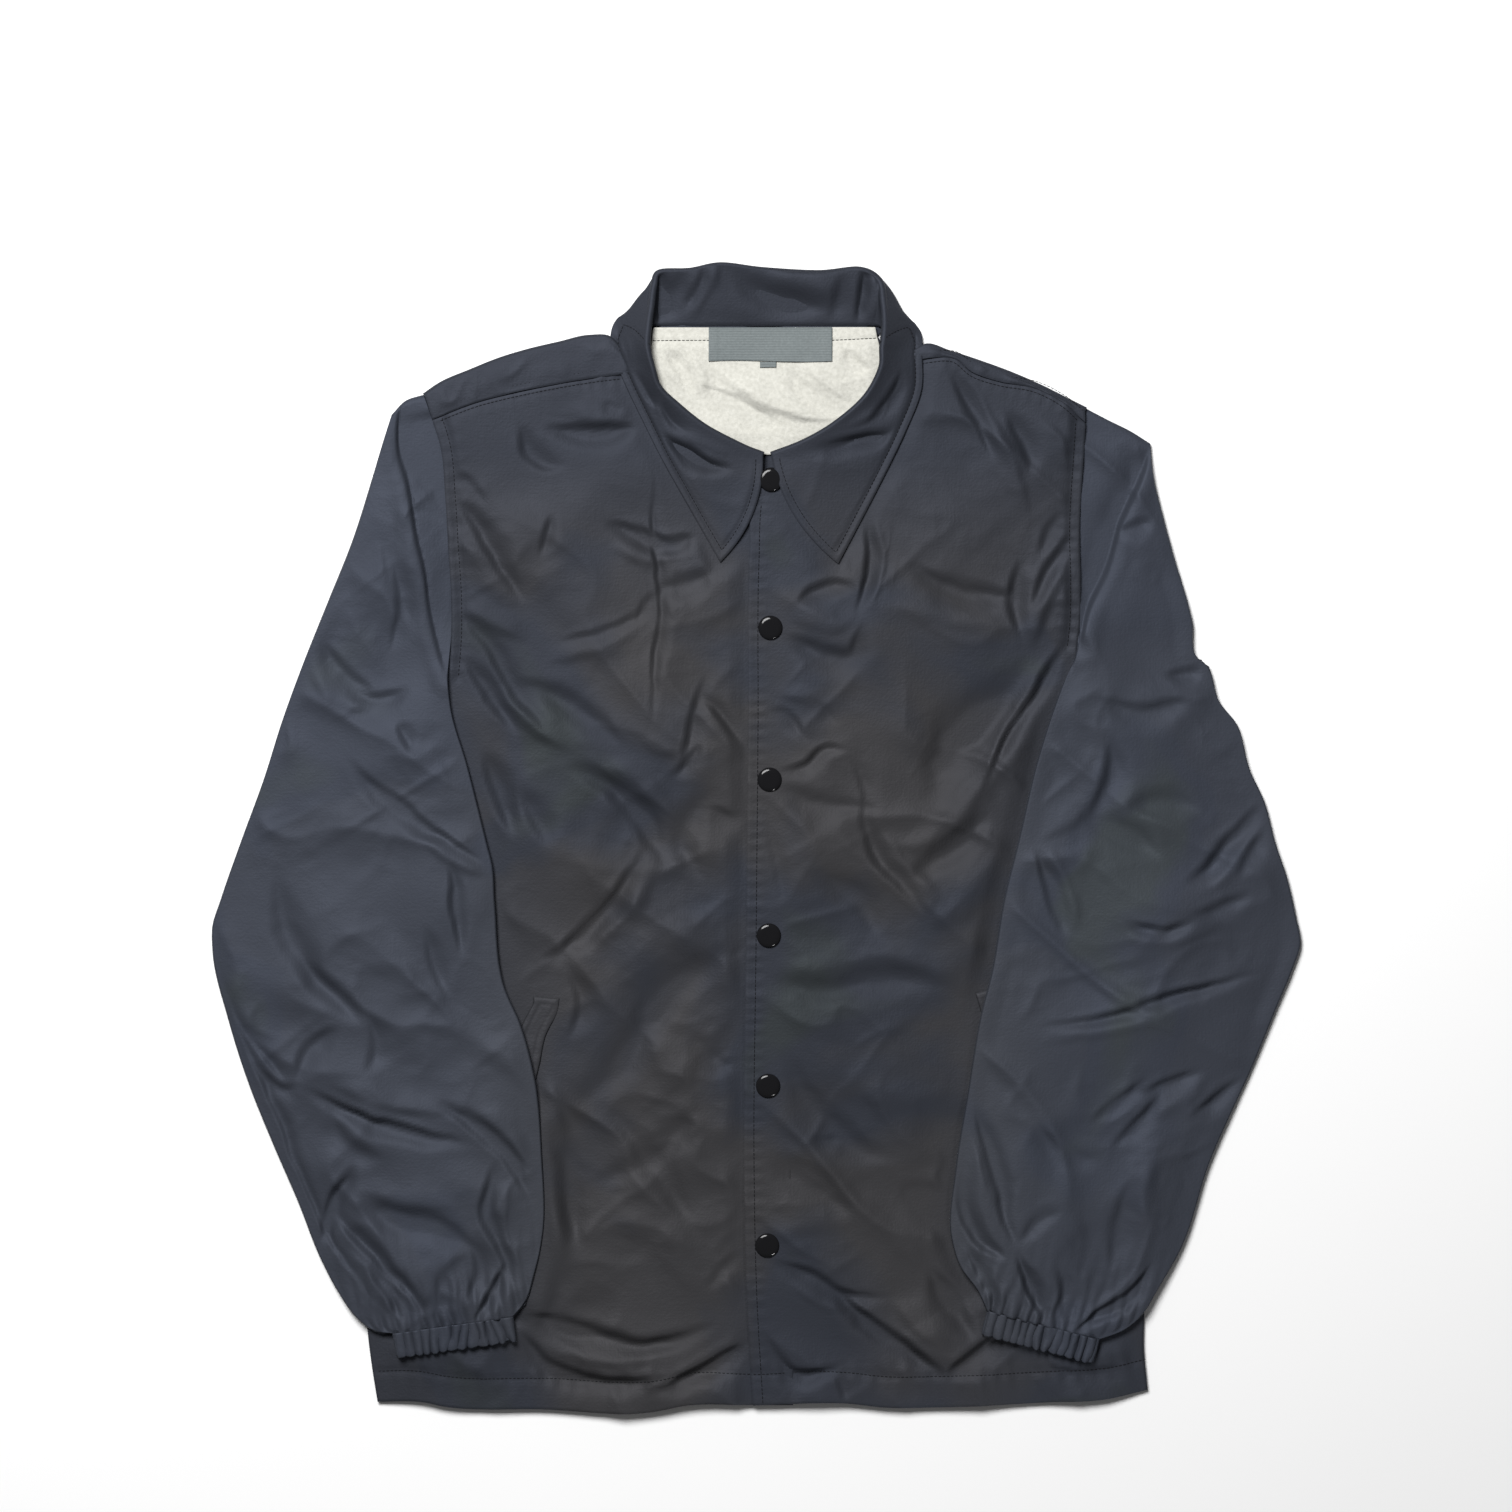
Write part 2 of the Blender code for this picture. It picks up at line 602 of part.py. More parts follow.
def add_collar(collection, fronts):
    """A one-piece collar: the stand from the neck seam to the roll, then the fall to its edge."""
    count = 43
    sections = np.linspace(0, len(COLLAR) - 1, count)
    names = COLLAR.dtype.names
    table = {n: spline(COLLAR[n], sections) for n in names}
    seam = np.stack([table["seam_x"], table["seam_y"]], axis=1)
    roll = np.stack([table["roll_x"], table["roll_y"], table["roll_z"]], axis=1)
    edge = np.stack([table["edge_x"], table["edge_y"]], axis=1)
    turn = np.radians(np.clip(table["turn"], 0, 180))
    under = np.clip(table["under"], 0, 1)
    tangent = np.gradient(roll[:, :2], axis=0)
    tangent /= np.linalg.norm(tangent, axis=1, keepdims=True)
    inward = np.column_stack([tangent[:, 1], -tangent[:, 0], np.zeros(count)])
    up = np.array([0.0, 0.0, 1.0])
    tip = np.cos(turn)[:, None] * inward + np.sin(turn)[:, None] * up
    over = np.cos(turn)[:, None] * up - np.sin(turn)[:, None] * inward
    centre = roll - ROLL_RADIUS * tip
    half = CLOTH / 2
    seam_z = np.where(turn > math.radians(70), half + NECK_RISE, SHOULDER_HEIGHT + 0.2)
    seam_z = np.convolve(np.pad(seam_z, 2, mode="edge"), np.ones(5) / 5, mode="valid")
    start = np.column_stack([seam, seam_z])
    rows = [start]
    stand_end = centre - ROLL_RADIUS * over
    rows.append(0.5 * (start + stand_end))
    for angle in np.radians([-90, -30, 30, 90]):
        rows.append(centre + ROLL_RADIUS * (math.cos(angle) * tip + math.sin(angle) * over))
    joint = rows[-1]
    steps = 5
    along_roll = np.column_stack([tangent, np.zeros(count)])
    for k in range(1, steps + 1):
        t = k / steps
        middle = 4 * t * (1 - t)
        plan = (1 - t) * joint[:, :2] + t * edge
        plan = plan - table["bulge"][:, None] * middle * inward[:, :2]
        plan = plan - table["bow"][:, None] * middle * along_roll[:, :2]
        rest = height_at(fronts, plan) + GAP + half + SLOPE_ROOM
        low = (1 - under) * rest + under * half
        z = low + (joint[:, 2] - low) * (1 - t) ** 1.6
        rows.append(np.column_stack([plan, z]))
    grid = np.array(rows)
    fall = grid[5:].copy()
    lying = under < 0.5
    first, last = np.argmin(lying), count - 1 - np.argmin(lying[::-1])
    for part in (slice(0, first), slice(last + 1, count)):
        fall[:, part] = settle(fall[:, part], fronts, GAP + half + SLOPE_ROOM)
    grid[6:] = fall[1:]
    add_panel("collar", [grid[:, ::-1]], CLOTH, body_nylon(), collection)


def spline(values, where):
    """Catmull-Rom interpolation of a column at fractional rows."""
    v = np.concatenate([[2 * values[0] - values[1]], values, [2 * values[-1] - values[-2]]])
    k = np.minimum(np.floor(where).astype(int), len(values) - 2)
    t = where - k
    a, b, c, d = v[k], v[k + 1], v[k + 2], v[k + 3]
    return 0.5 * (
        2 * b + (c - a) * t + (2 * a - 5 * b + 4 * c - d) * t**2 + (3 * b - a - 3 * c + d) * t**3
    )


def add_sleeve(names, outer, top, armhole, inner, pleat, cuff_edge, side, fronts, collection):
    """A sleeve's under panel and top panel; side is -1 on the left and 1 on the right."""
    away = side * (GAP + 0.2)
    body_side = along(shifted(armhole, away)[:-1] + inner, 60)
    outer_side = along(outer, 60)
    break_y = armhole[-1][1]
    maps = []
    for name, rows, columns, is_top in ((names[0], 26, 8, False), (names[1], 39, 11, True)):
        pick_body = along(body_side[::-1], rows)
        pick_outer = along(outer_side[::-1], rows)
        low = along(cuff_edge, columns)
        high = along(top, columns)
        edges = (pick_outer, pick_body) if side < 0 else (pick_body, pick_outer)
        plan = coons(*edges, low, high, crowd=0.6)
        if is_top:
            from_outer = roll_off(distance(plan, outer + top), SLEEVE_ROLL)
            line = along(pleat[:-1] + inner, 60)
            past = distance(plan, line)
            nearest_x = np.interp(plan[..., 1], line[::-1, 1], line[::-1, 0])
            past = np.where(side * (plan[..., 0] - nearest_x) > -0.5, past, 0.0)
            above = smooth((plan[..., 1] - break_y) / ARMHOLE_FADE)
            loft = ARMHOLE_LOFT * above * np.minimum(from_outer * 1.4, 1)
            loft = loft + SLEEVE_LOFT * from_outer * roll_off(past, SLEEVE_ROLL)
            loft = loft + folds(plan) * from_outer * smooth(past / SLEEVE_ROLL)
            support = height_at(maps[0], plan)
            z = support + GAP + CLOTH / 2 + SLOPE_ROOM + loft
            grid = settle(with_height(plan, z), maps[0], GAP + CLOTH / 2 + SLOPE_ROOM)
        else:
            grid = with_height(plan, CLOTH / 2)
            grid = settle(grid, fronts, GAP + CLOTH / 2 + SLOPE_ROOM, below=break_y + 4)
        add_panel(name, [grid], CLOTH, sleeve_nylon(), collection)
        maps.append(height_map(upper_side(grid, CLOTH)))
    return maps[1]


def add_cuff(name, cuff_edge, heights, collection):
    """A gathered tube: a flat stadium section whose wall waves in and out, run along its depth."""
    a, b = np.array(cuff_edge[0], float), np.array(cuff_edge[-1], float)
    across = (b - a) / np.linalg.norm(b - a)
    down = np.array([across[1], -across[0]])
    centre = (a + b) / 2
    half_flat = np.linalg.norm(b - a) / 2 - CUFF_HALF_HEIGHT - 1.0
    bend = math.pi * CUFF_HALF_HEIGHT
    round_trip = 4 * half_flat + 2 * bend
    count = CUFF_GATHERS * POINTS_PER_GATHER
    s = np.arange(count) / count * round_trip
    points, outs = [], []
    for d in s:
        second = d >= round_trip / 2
        d = d - round_trip / 2 if second else d
        if d < 2 * half_flat:
            p, n = (-half_flat + d, CUFF_HALF_HEIGHT), (0.0, 1.0)
        else:
            turn = math.pi / 2 - (d - 2 * half_flat) / CUFF_HALF_HEIGHT
            n = (math.cos(turn), math.sin(turn))
            p = (half_flat + CUFF_HALF_HEIGHT * n[0], CUFF_HALF_HEIGHT * n[1])
        sign = -1 if second else 1
        points.append((sign * p[0], sign * p[1]))
        outs.append((sign * n[0], sign * n[1]))
    wave = GATHER_DEPTH * np.cos(2 * np.pi * CUFF_GATHERS * s / round_trip)
    ring = np.array(points) + np.array(outs) * wave[:, None]
    rows = []
    for t in (GAP + 0.2, CUFF_DEPTH):
        plan = centre + across * ring[:, :1] + down * t
        rows.append(np.column_stack([plan, ring[:, 1]]))
    grid = np.array(rows)
    lowest = CUFF_HALF_HEIGHT + GATHER_DEPTH + CLOTH / 2
    grid[..., 2] += height_at(heights, grid[..., :2]).max() + GAP + lowest
    grid = np.concatenate([grid, grid[:, :1]], axis=1)
    add_panel(name, [grid], CLOTH, sleeve_nylon(), collection)


def main():
    for old in list(bpy.data.objects):
        bpy.data.objects.remove(old)
    jacket = bpy.data.collections.new("coach_jacket")
    bpy.context.scene.collection.children.link(jacket)
    back, strips = add_back(jacket)
    lining = add_lining(jacket, back)
    add_patch("label", LABEL_CENTRE, LABEL_WIDTH, LABEL_DEPTH, lining, jacket)
    tab_y = LABEL_CENTRE[1] - (LABEL_DEPTH + TAB_DEPTH) / 2 - GAP
    add_patch("size_tab", (LABEL_CENTRE[0] - 1.5, tab_y), TAB_WIDTH, TAB_DEPTH, lining, jacket)
    fronts = add_fronts(jacket, higher(back, lining))
    welts = higher(
        add_welt("pocket_welt_right", LEFT_WELT, -1, fronts, jacket),
        add_welt("pocket_welt_left", RIGHT_WELT, 1, fronts, jacket),
    )
    caps = [add_snap(f"snap_{k + 1}", centre, fronts, jacket) for k, centre in enumerate(SNAPS)]
    add_collar(jacket, higher(fronts, strips, caps[0]))
    body = higher(fronts, welts)
    left_cuff_edge = [LEFT_SLEEVE_OUTER[-1], LEFT_SLEEVE_INNER[-1]]
    right_cuff_edge = [RIGHT_SLEEVE_INNER[-1], RIGHT_SLEEVE_OUTER[-1]]
    add_sleeve(
        ("sleeve_right_under", "sleeve_right_top"), LEFT_SLEEVE_OUTER, LEFT_SLEEVE_TOP,
        LEFT_ARMHOLE, LEFT_SLEEVE_INNER, LEFT_PLEAT, left_cuff_edge, -1, body, jacket,
    )
    add_sleeve(
        ("sleeve_left_under", "sleeve_left_top"), RIGHT_SLEEVE_OUTER, RIGHT_SLEEVE_TOP,
        RIGHT_ARMHOLE, RIGHT_SLEEVE_INNER, RIGHT_PLEAT, right_cuff_edge, 1, body, jacket,
    )
    add_cuff("cuff_right", left_cuff_edge, fronts, jacket)
    add_cuff("cuff_left", right_cuff_edge, fronts, jacket)


main()
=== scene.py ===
"""The looks of a coach jacket that lies flat: cloth, creases, seams, stitches, snaps and materials.

Run with: blender --background --python scene.py
Surfaces are worked out in millimetres and become metres when a mesh is made. X runs across the
jacket, Y up to the collar and Z up from the floor. Left and right in the names of outlines are
those of someone who looks down on the jacket; in the names of pieces they are the wearer's.
"""

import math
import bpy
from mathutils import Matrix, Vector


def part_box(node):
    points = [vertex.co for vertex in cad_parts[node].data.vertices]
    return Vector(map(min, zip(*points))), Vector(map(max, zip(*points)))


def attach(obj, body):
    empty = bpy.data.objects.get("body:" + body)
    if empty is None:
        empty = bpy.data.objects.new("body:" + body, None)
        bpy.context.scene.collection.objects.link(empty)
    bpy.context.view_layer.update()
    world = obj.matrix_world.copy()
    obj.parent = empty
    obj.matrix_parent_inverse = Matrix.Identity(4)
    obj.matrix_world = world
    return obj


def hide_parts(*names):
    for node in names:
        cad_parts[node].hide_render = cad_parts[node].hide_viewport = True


bl_info = {
    "name": "Coach Jacket",
    "version": (1, 0, 0),
    "blender": (4, 5, 0),
    "location": "3D View > Sidebar > Jacket",
    "description": "Builds the cloth, trims and studio of a coach jacket that lies flat",
    "category": "Object",
}

from collections import namedtuple

import bpy
import numpy as np

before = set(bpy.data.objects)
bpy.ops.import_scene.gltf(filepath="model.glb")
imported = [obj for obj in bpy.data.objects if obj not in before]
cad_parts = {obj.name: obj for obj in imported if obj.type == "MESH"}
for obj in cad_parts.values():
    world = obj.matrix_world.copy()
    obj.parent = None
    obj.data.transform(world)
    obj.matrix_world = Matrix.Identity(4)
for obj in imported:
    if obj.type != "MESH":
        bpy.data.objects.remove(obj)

MM = 0.001
PHOTO_PIXELS = 1512
"""Side of the photograph's frame, in pixels."""
PHOTO_SCALE = 0.65
"""Millimetres on the jacket for one pixel of the photograph."""
PHOTO_CENTRE = (756.5, 836.5)
"""Pixel that lies over the origin."""
HALF_FLOOR = 400.0
"""Half the side of the square of floor that the height maps cover."""
RASTER = 2.0
"""Spacing of the height maps that are read from the solids."""
MIDDLE_X = 5.0
"""X of the jacket's middle line, which parts the collar's two leaves."""

# Cloth and seams
WALL = 0.9
"""Thickness of the cloth shells."""
HEM_STITCH = 20.0
"""Depth of the hem band at its stitch line."""
EDGE_STITCH = 6.5
"""Distance of the stitch line from the front edge."""
TOPSTITCH = 6.5
"""Distance of the topstitching from the armhole seams."""
COLLAR_STITCH = 4.8
"""Distance of the topstitching from the collar's edge."""
SHOULDER_STITCHES = (-2.2, 5.0)
"""Distances of the stitch rows from the shoulder seam: down on the front and up on the back."""
SEAM_GAP = 0.6
"""Gap between the edges of back and front at the shoulder seam."""
FRONT_FLOOR = 2.9
"""Lowest height of a front's upper side, over the back and its shell."""
SHOULDER_HEIGHT = 5.3
"""Height of the back's cloth where it comes forward over the shoulder."""
SHOULDER_FOLD = 2.2
"""How far the shoulder's fold swings out from the line that it turns about."""
NECK_RISE = 1.7
"""Lift of the back where the collar's fall lies under it."""
ROLL_RADIUS = 1.9
"""Radius of the collar's fold between stand and fall."""
STAND_ROWS = 13
"""Rows of the collar's grid from the neck seam to where the roll starts."""
ROLL_ROWS = 13
"""Rows round the collar's roll."""
LEAF_ROWS = 36
"""Rows from the roll to the free edge of the collar's fall."""
WELT_WIDTH = 17.0
"""Width of a pocket welt."""
SNAPS = 6
"""Snaps down the front edge."""

# Sleeves and cuffs
SLEEVE_CEILING = 15.5
"""Highest that a sleeve's ridges reach, over the floor."""
CUFF_GATHERS = 22
"""Gathers that a cuff's elastic draws in."""
GATHERS_TO_A_PLEAT = 2.4
"""Gathers that run together in one soft pleat of the sleeve above the cuff."""
CUFF_WAVES = 27
"""Uneven waves round a cuff, of which some are too low to count as gathers."""
CUFF_DEPTH = 15.5
"""Depth of a cuff, from the sleeve's end to its free edge."""
CUFF_HALF_HEIGHT = 2.7
"""Half the height of a flat cuff, without its waves."""

# Studio, in metres
KEY_PLACE = (-0.6, 1.15, 2.1)
"""Place of the large light."""
KEY_SIZE = 1.15
"""Width of the large light."""
GLINT_PLACE = (0.45, -1.0, 0.8)
"""Place of the small light that the snaps mirror."""
GLINT_SIZE = 0.2
"""Width of the small light."""
PAPER_HALF = 3000.0
"""Half the side of the paper, in mm."""

# Outlines in pixels of the photograph, from the top down
LEFT_ARMHOLE = [
    (424, 395), (433, 421), (440, 443), (446, 501), (449, 550), (452, 600), (452, 634), (449, 676),
]
LEFT_UNDERARM = [(446, 693), (439, 711), (428, 725), (414, 736), (398, 744), (384, 752)]
LEFT_SIDE = [(380, 764), (378, 800), (370, 1021), (369, 1340), (373, 1370), (378, 1401)]
RIGHT_ARMHOLE = [
    (1086, 409), (1085, 424), (1083, 457), (1079, 530), (1080, 578), (1079, 627), (1076.5, 650),
]
RIGHT_UNDERARM = [(1079, 672), (1085, 695), (1096, 714), (1110, 729), (1126, 741), (1137, 752)]
RIGHT_SIDE = [(1140, 766), (1141, 800), (1144, 1100), (1144, 1310), (1143, 1341), (1147, 1389)]
FRONT_EDGE = [
    (755, 484), (752, 500), (749, 560), (748, 724), (746, 944), (744, 1163), (747, 1300), (753, 1404),
]
UNDER_EDGE = [(793, 484), (790, 759), (790, 1113), (793, 1404)]
LEFT_OUTER = [
    (392, 415), (381, 450), (372, 480), (353, 540), (329, 600), (305, 660), (283, 720), (264, 780),
    (242, 840), (221, 900), (213, 926), (213, 950), (229, 1020), (248, 1080), (272, 1140),
    (298, 1200), (322, 1260), (338, 1290), (359, 1318), (376, 1330), (393.5, 1332),
]
LEFT_INNER = [
    (449, 676), (452, 708), (468, 764), (488, 843), (493, 863), (496, 904), (506, 988),
    (521, 1022), (535, 1073), (543, 1157), (544, 1230), (535, 1275), (527, 1300), (515, 1315),
]
LEFT_PLEAT = [
    (401, 400), (402, 456), (409, 479), (420, 541), (427, 570), (432, 610), (441, 649), (449, 676),
]
RIGHT_OUTER = [
    (1150, 444), (1153, 476), (1160, 505), (1173, 554), (1192, 622), (1197, 658), (1205, 664),
    (1219, 702), (1236, 724), (1249, 769), (1264, 802), (1275, 843), (1287, 879), (1295, 914),
    (1300, 944), (1292, 970), (1277, 1006), (1254, 1062), (1209, 1163), (1181, 1247),
    (1155, 1292), (1144, 1310), (1124, 1328), (1098, 1338),
]
RIGHT_INNER = [
    (1076.5, 650), (1061, 687), (1037, 759), (1019, 835), (1004, 896), (990, 975), (981, 1010),
    (967, 1092), (955, 1168), (951, 1238), (960, 1266), (977, 1289), (986, 1309),
]
RIGHT_PLEAT = [
    (1149, 446), (1139, 476), (1117, 525), (1105, 566), (1085, 612), (1078, 644), (1076.5, 650),
]

# Outlines in pixels of the photograph, from left to right
LEFT_HEM = [
    (378, 1401), (424, 1401), (444, 1405), (539, 1408), (661, 1409), (679, 1405), (760, 1404),
    (793, 1404),
]
RIGHT_HEM = [
    (753, 1404), (847, 1402), (883, 1406), (936, 1406), (1049, 1401), (1105, 1398), (1147, 1389),
]
LEFT_SHOULDER_SEAM = [
    (433, 421), (438, 419), (477, 404), (516, 394), (550, 387), (591, 380), (630, 375),
]
RIGHT_SHOULDER_SEAM = [
    (901, 367), (928, 360), (954, 360), (972, 374), (998, 383), (1035, 390), (1062, 404),
    (1085, 424),
]
LEFT_NECK = [(630, 375), (639, 399), (664, 430), (699, 453), (735, 470), (757, 479), (793, 484)]
RIGHT_NECK = [(755, 484), (775, 479), (800, 470), (835, 450), (869, 429), (893, 399), (901, 367)]
LEFT_BACK_SHOULDER = [
    (424, 395), (440, 384), (470, 371), (500, 359), (530, 350), (560, 343), (590, 336), (609, 336),
    (624, 350),
]
BACK_NECK = [(624, 350), (641, 346), (658, 328.5), (764, 328.5), (869, 328), (886, 346), (909, 352)]
RIGHT_BACK_SHOULDER = [
    (909, 352), (926, 344), (950, 352), (980, 362), (1010, 373), (1040, 386), (1070, 401),
    (1086, 409),
]
LEFT_SLEEVE_TOP = [(392, 415), (406, 401), (424, 395)]
RIGHT_SLEEVE_TOP = [(1086, 409), (1107, 420), (1131, 432), (1150, 444)]
LEFT_WELT = [(560, 998), (559, 1008), (546, 1036), (540, 1064), (519, 1140), (494, 1222)]
RIGHT_WELT = [(975, 993), (980, 1010), (1000, 1075), (1023, 1150), (1046, 1218)]
LINING_STITCH = [(640, 341.5), (700, 341), (760, 341.5), (830, 341), (890, 338)]

# Edges of the lining that shows in the neck, as plan points in mm
LINING_LOW = np.array([(-60, 272), (-32, 256), (6, 248.0), (44, 256), (72, 272)], float)
LINING_TOP = np.array([(-67, 330.4), (5, 330.5), (77, 330.6)], float)
LINING_LEFT = np.array([(-67, 330.4), (-70, 300), (-60, 272)], float)
LINING_RIGHT = np.array([(77, 330.6), (82, 300), (72, 272)], float)

Crease = namedtuple("Crease", "height width line")
"""A crease of the cloth: its height in mm, below 0 for a trough, its half width in mm, and its
line in pixels of the photograph."""

LEFT_FRONT_CREASES = [
    Crease(-1.9, 2.6, [(552, 515), (547, 534), (542, 556)]),
    Crease(-1.6, 4.5, [(522, 424), (529, 455), (545, 466), (566, 469)]),
    Crease(-2.2, 4.5, [(548, 428), (590, 432), (642, 427)]),
    Crease(1.3, 6.0, [(560, 412), (600, 418), (640, 410)]),
    Crease(-1.1, 4.0, [(603, 403), (627, 413)]),
    Crease(-0.9, 2.2, [(655, 470), (654, 520), (660, 580), (656, 650), (651, 735)]),
    Crease(-2.3, 4.0, [(606, 521), (642, 533), (668, 544), (704, 534)]),
    Crease(1.4, 5.0, [(610, 548), (645, 560), (690, 556)]),
    Crease(-1.4, 6.0, [(655, 588), (690, 583), (722, 566)]),
    Crease(-1.0, 3.0, [(635, 622), (648, 600), (660, 590)]),
    Crease(-0.9, 3.5, [(560, 642), (610, 630), (650, 608)]),
    Crease(1.3, 6.0, [(548, 660), (600, 646), (646, 622)]),
    Crease(-1.3, 4.0, [(452, 470), (470, 482), (488, 506)]),
    Crease(-1.5, 4.0, [(456, 500), (486, 545), (522, 602)]),
    Crease(1.6, 6.0, [(462, 545), (495, 585), (520, 606)]),
    Crease(1.5, 5.0, [(455, 606), (490, 622), (528, 640)]),
    Crease(-1.6, 4.0, [(458, 610), (490, 650), (520, 700), (558, 744)]),
    Crease(1.8, 5.0, [(500, 690), (530, 725), (572, 752)]),
    Crease(-1.7, 4.0, [(462, 660), (488, 695), (516, 738)]),
    Crease(-1.6, 7.0, [(520, 680), (570, 706), (600, 726), (622, 748)]),
    Crease(-1.8, 6.0, [(484, 752), (498, 790), (518, 838)]),
    Crease(-1.4, 6.0, [(520, 788), (536, 815), (552, 848)]),
    Crease(-2.0, 7.5, [(572, 768), (612, 788), (642, 818), (668, 874)]),
    Crease(1.5, 7.0, [(600, 768), (640, 782), (672, 812)]),
    Crease(-2.0, 4.5, [(646, 850), (610, 900), (577, 940), (536, 962)]),
    Crease(1.5, 6.0, [(656, 870), (622, 916), (590, 956)]),
    Crease(-1.6, 3.0, [(702, 696), (722, 718), (750, 752)]),
    Crease(-1.3, 3.5, [(706, 676), (697, 706), (682, 770)]),
    Crease(-1.9, 3.0, [(672, 776), (684, 766), (702, 742)]),
    Crease(1.2, 4.5, [(640, 740), (665, 752), (684, 748)]),
    Crease(-1.5, 5.0, [(708, 806), (726, 816), (748, 816)]),
    Crease(-1.4, 8.0, [(700, 880), (680, 840), (712, 790)]),
    Crease(-1.9, 2.8, [(731, 957), (740, 948), (750, 936)]),
    Crease(-2.1, 11.0, [(746, 940), (700, 966), (660, 1000), (630, 1050), (574, 1108)]),
    Crease(1.6, 10.0, [(740, 906), (690, 930), (640, 960), (596, 1010)]),
    Crease(-1.2, 7.0, [(686, 1030), (706, 1052), (734, 1074)]),
    Crease(1.3, 9.0, [(730, 1010), (690, 1060), (640, 1110)]),
    Crease(-1.3, 9.0, [(700, 1110), (660, 1150), (600, 1180)]),
    Crease(-1.2, 4.0, [(566, 966), (580, 1000), (570, 1040)]),
    Crease(-2.0, 9.0, [(546, 1110), (562, 1180), (580, 1250)]),
    Crease(-1.1, 8.0, [(610, 1110), (660, 1170), (700, 1240)]),
    Crease(1.2, 10.0, [(600, 1210), (660, 1240), (700, 1290)]),
    Crease(-2.6, 6.0, [(516, 1312), (571, 1325), (632, 1342), (714, 1326)]),
    Crease(1.7, 6.0, [(540, 1345), (600, 1358), (680, 1352)]),
    Crease(-2.2, 4.5, [(516, 1326), (550, 1362), (610, 1380), (668, 1378)]),
    Crease(-2.6, 4.5, [(757, 1332), (722, 1358), (690, 1376), (650, 1392)]),
    Crease(-1.2, 3.0, [(742, 1250), (728, 1262), (706, 1288)]),
]
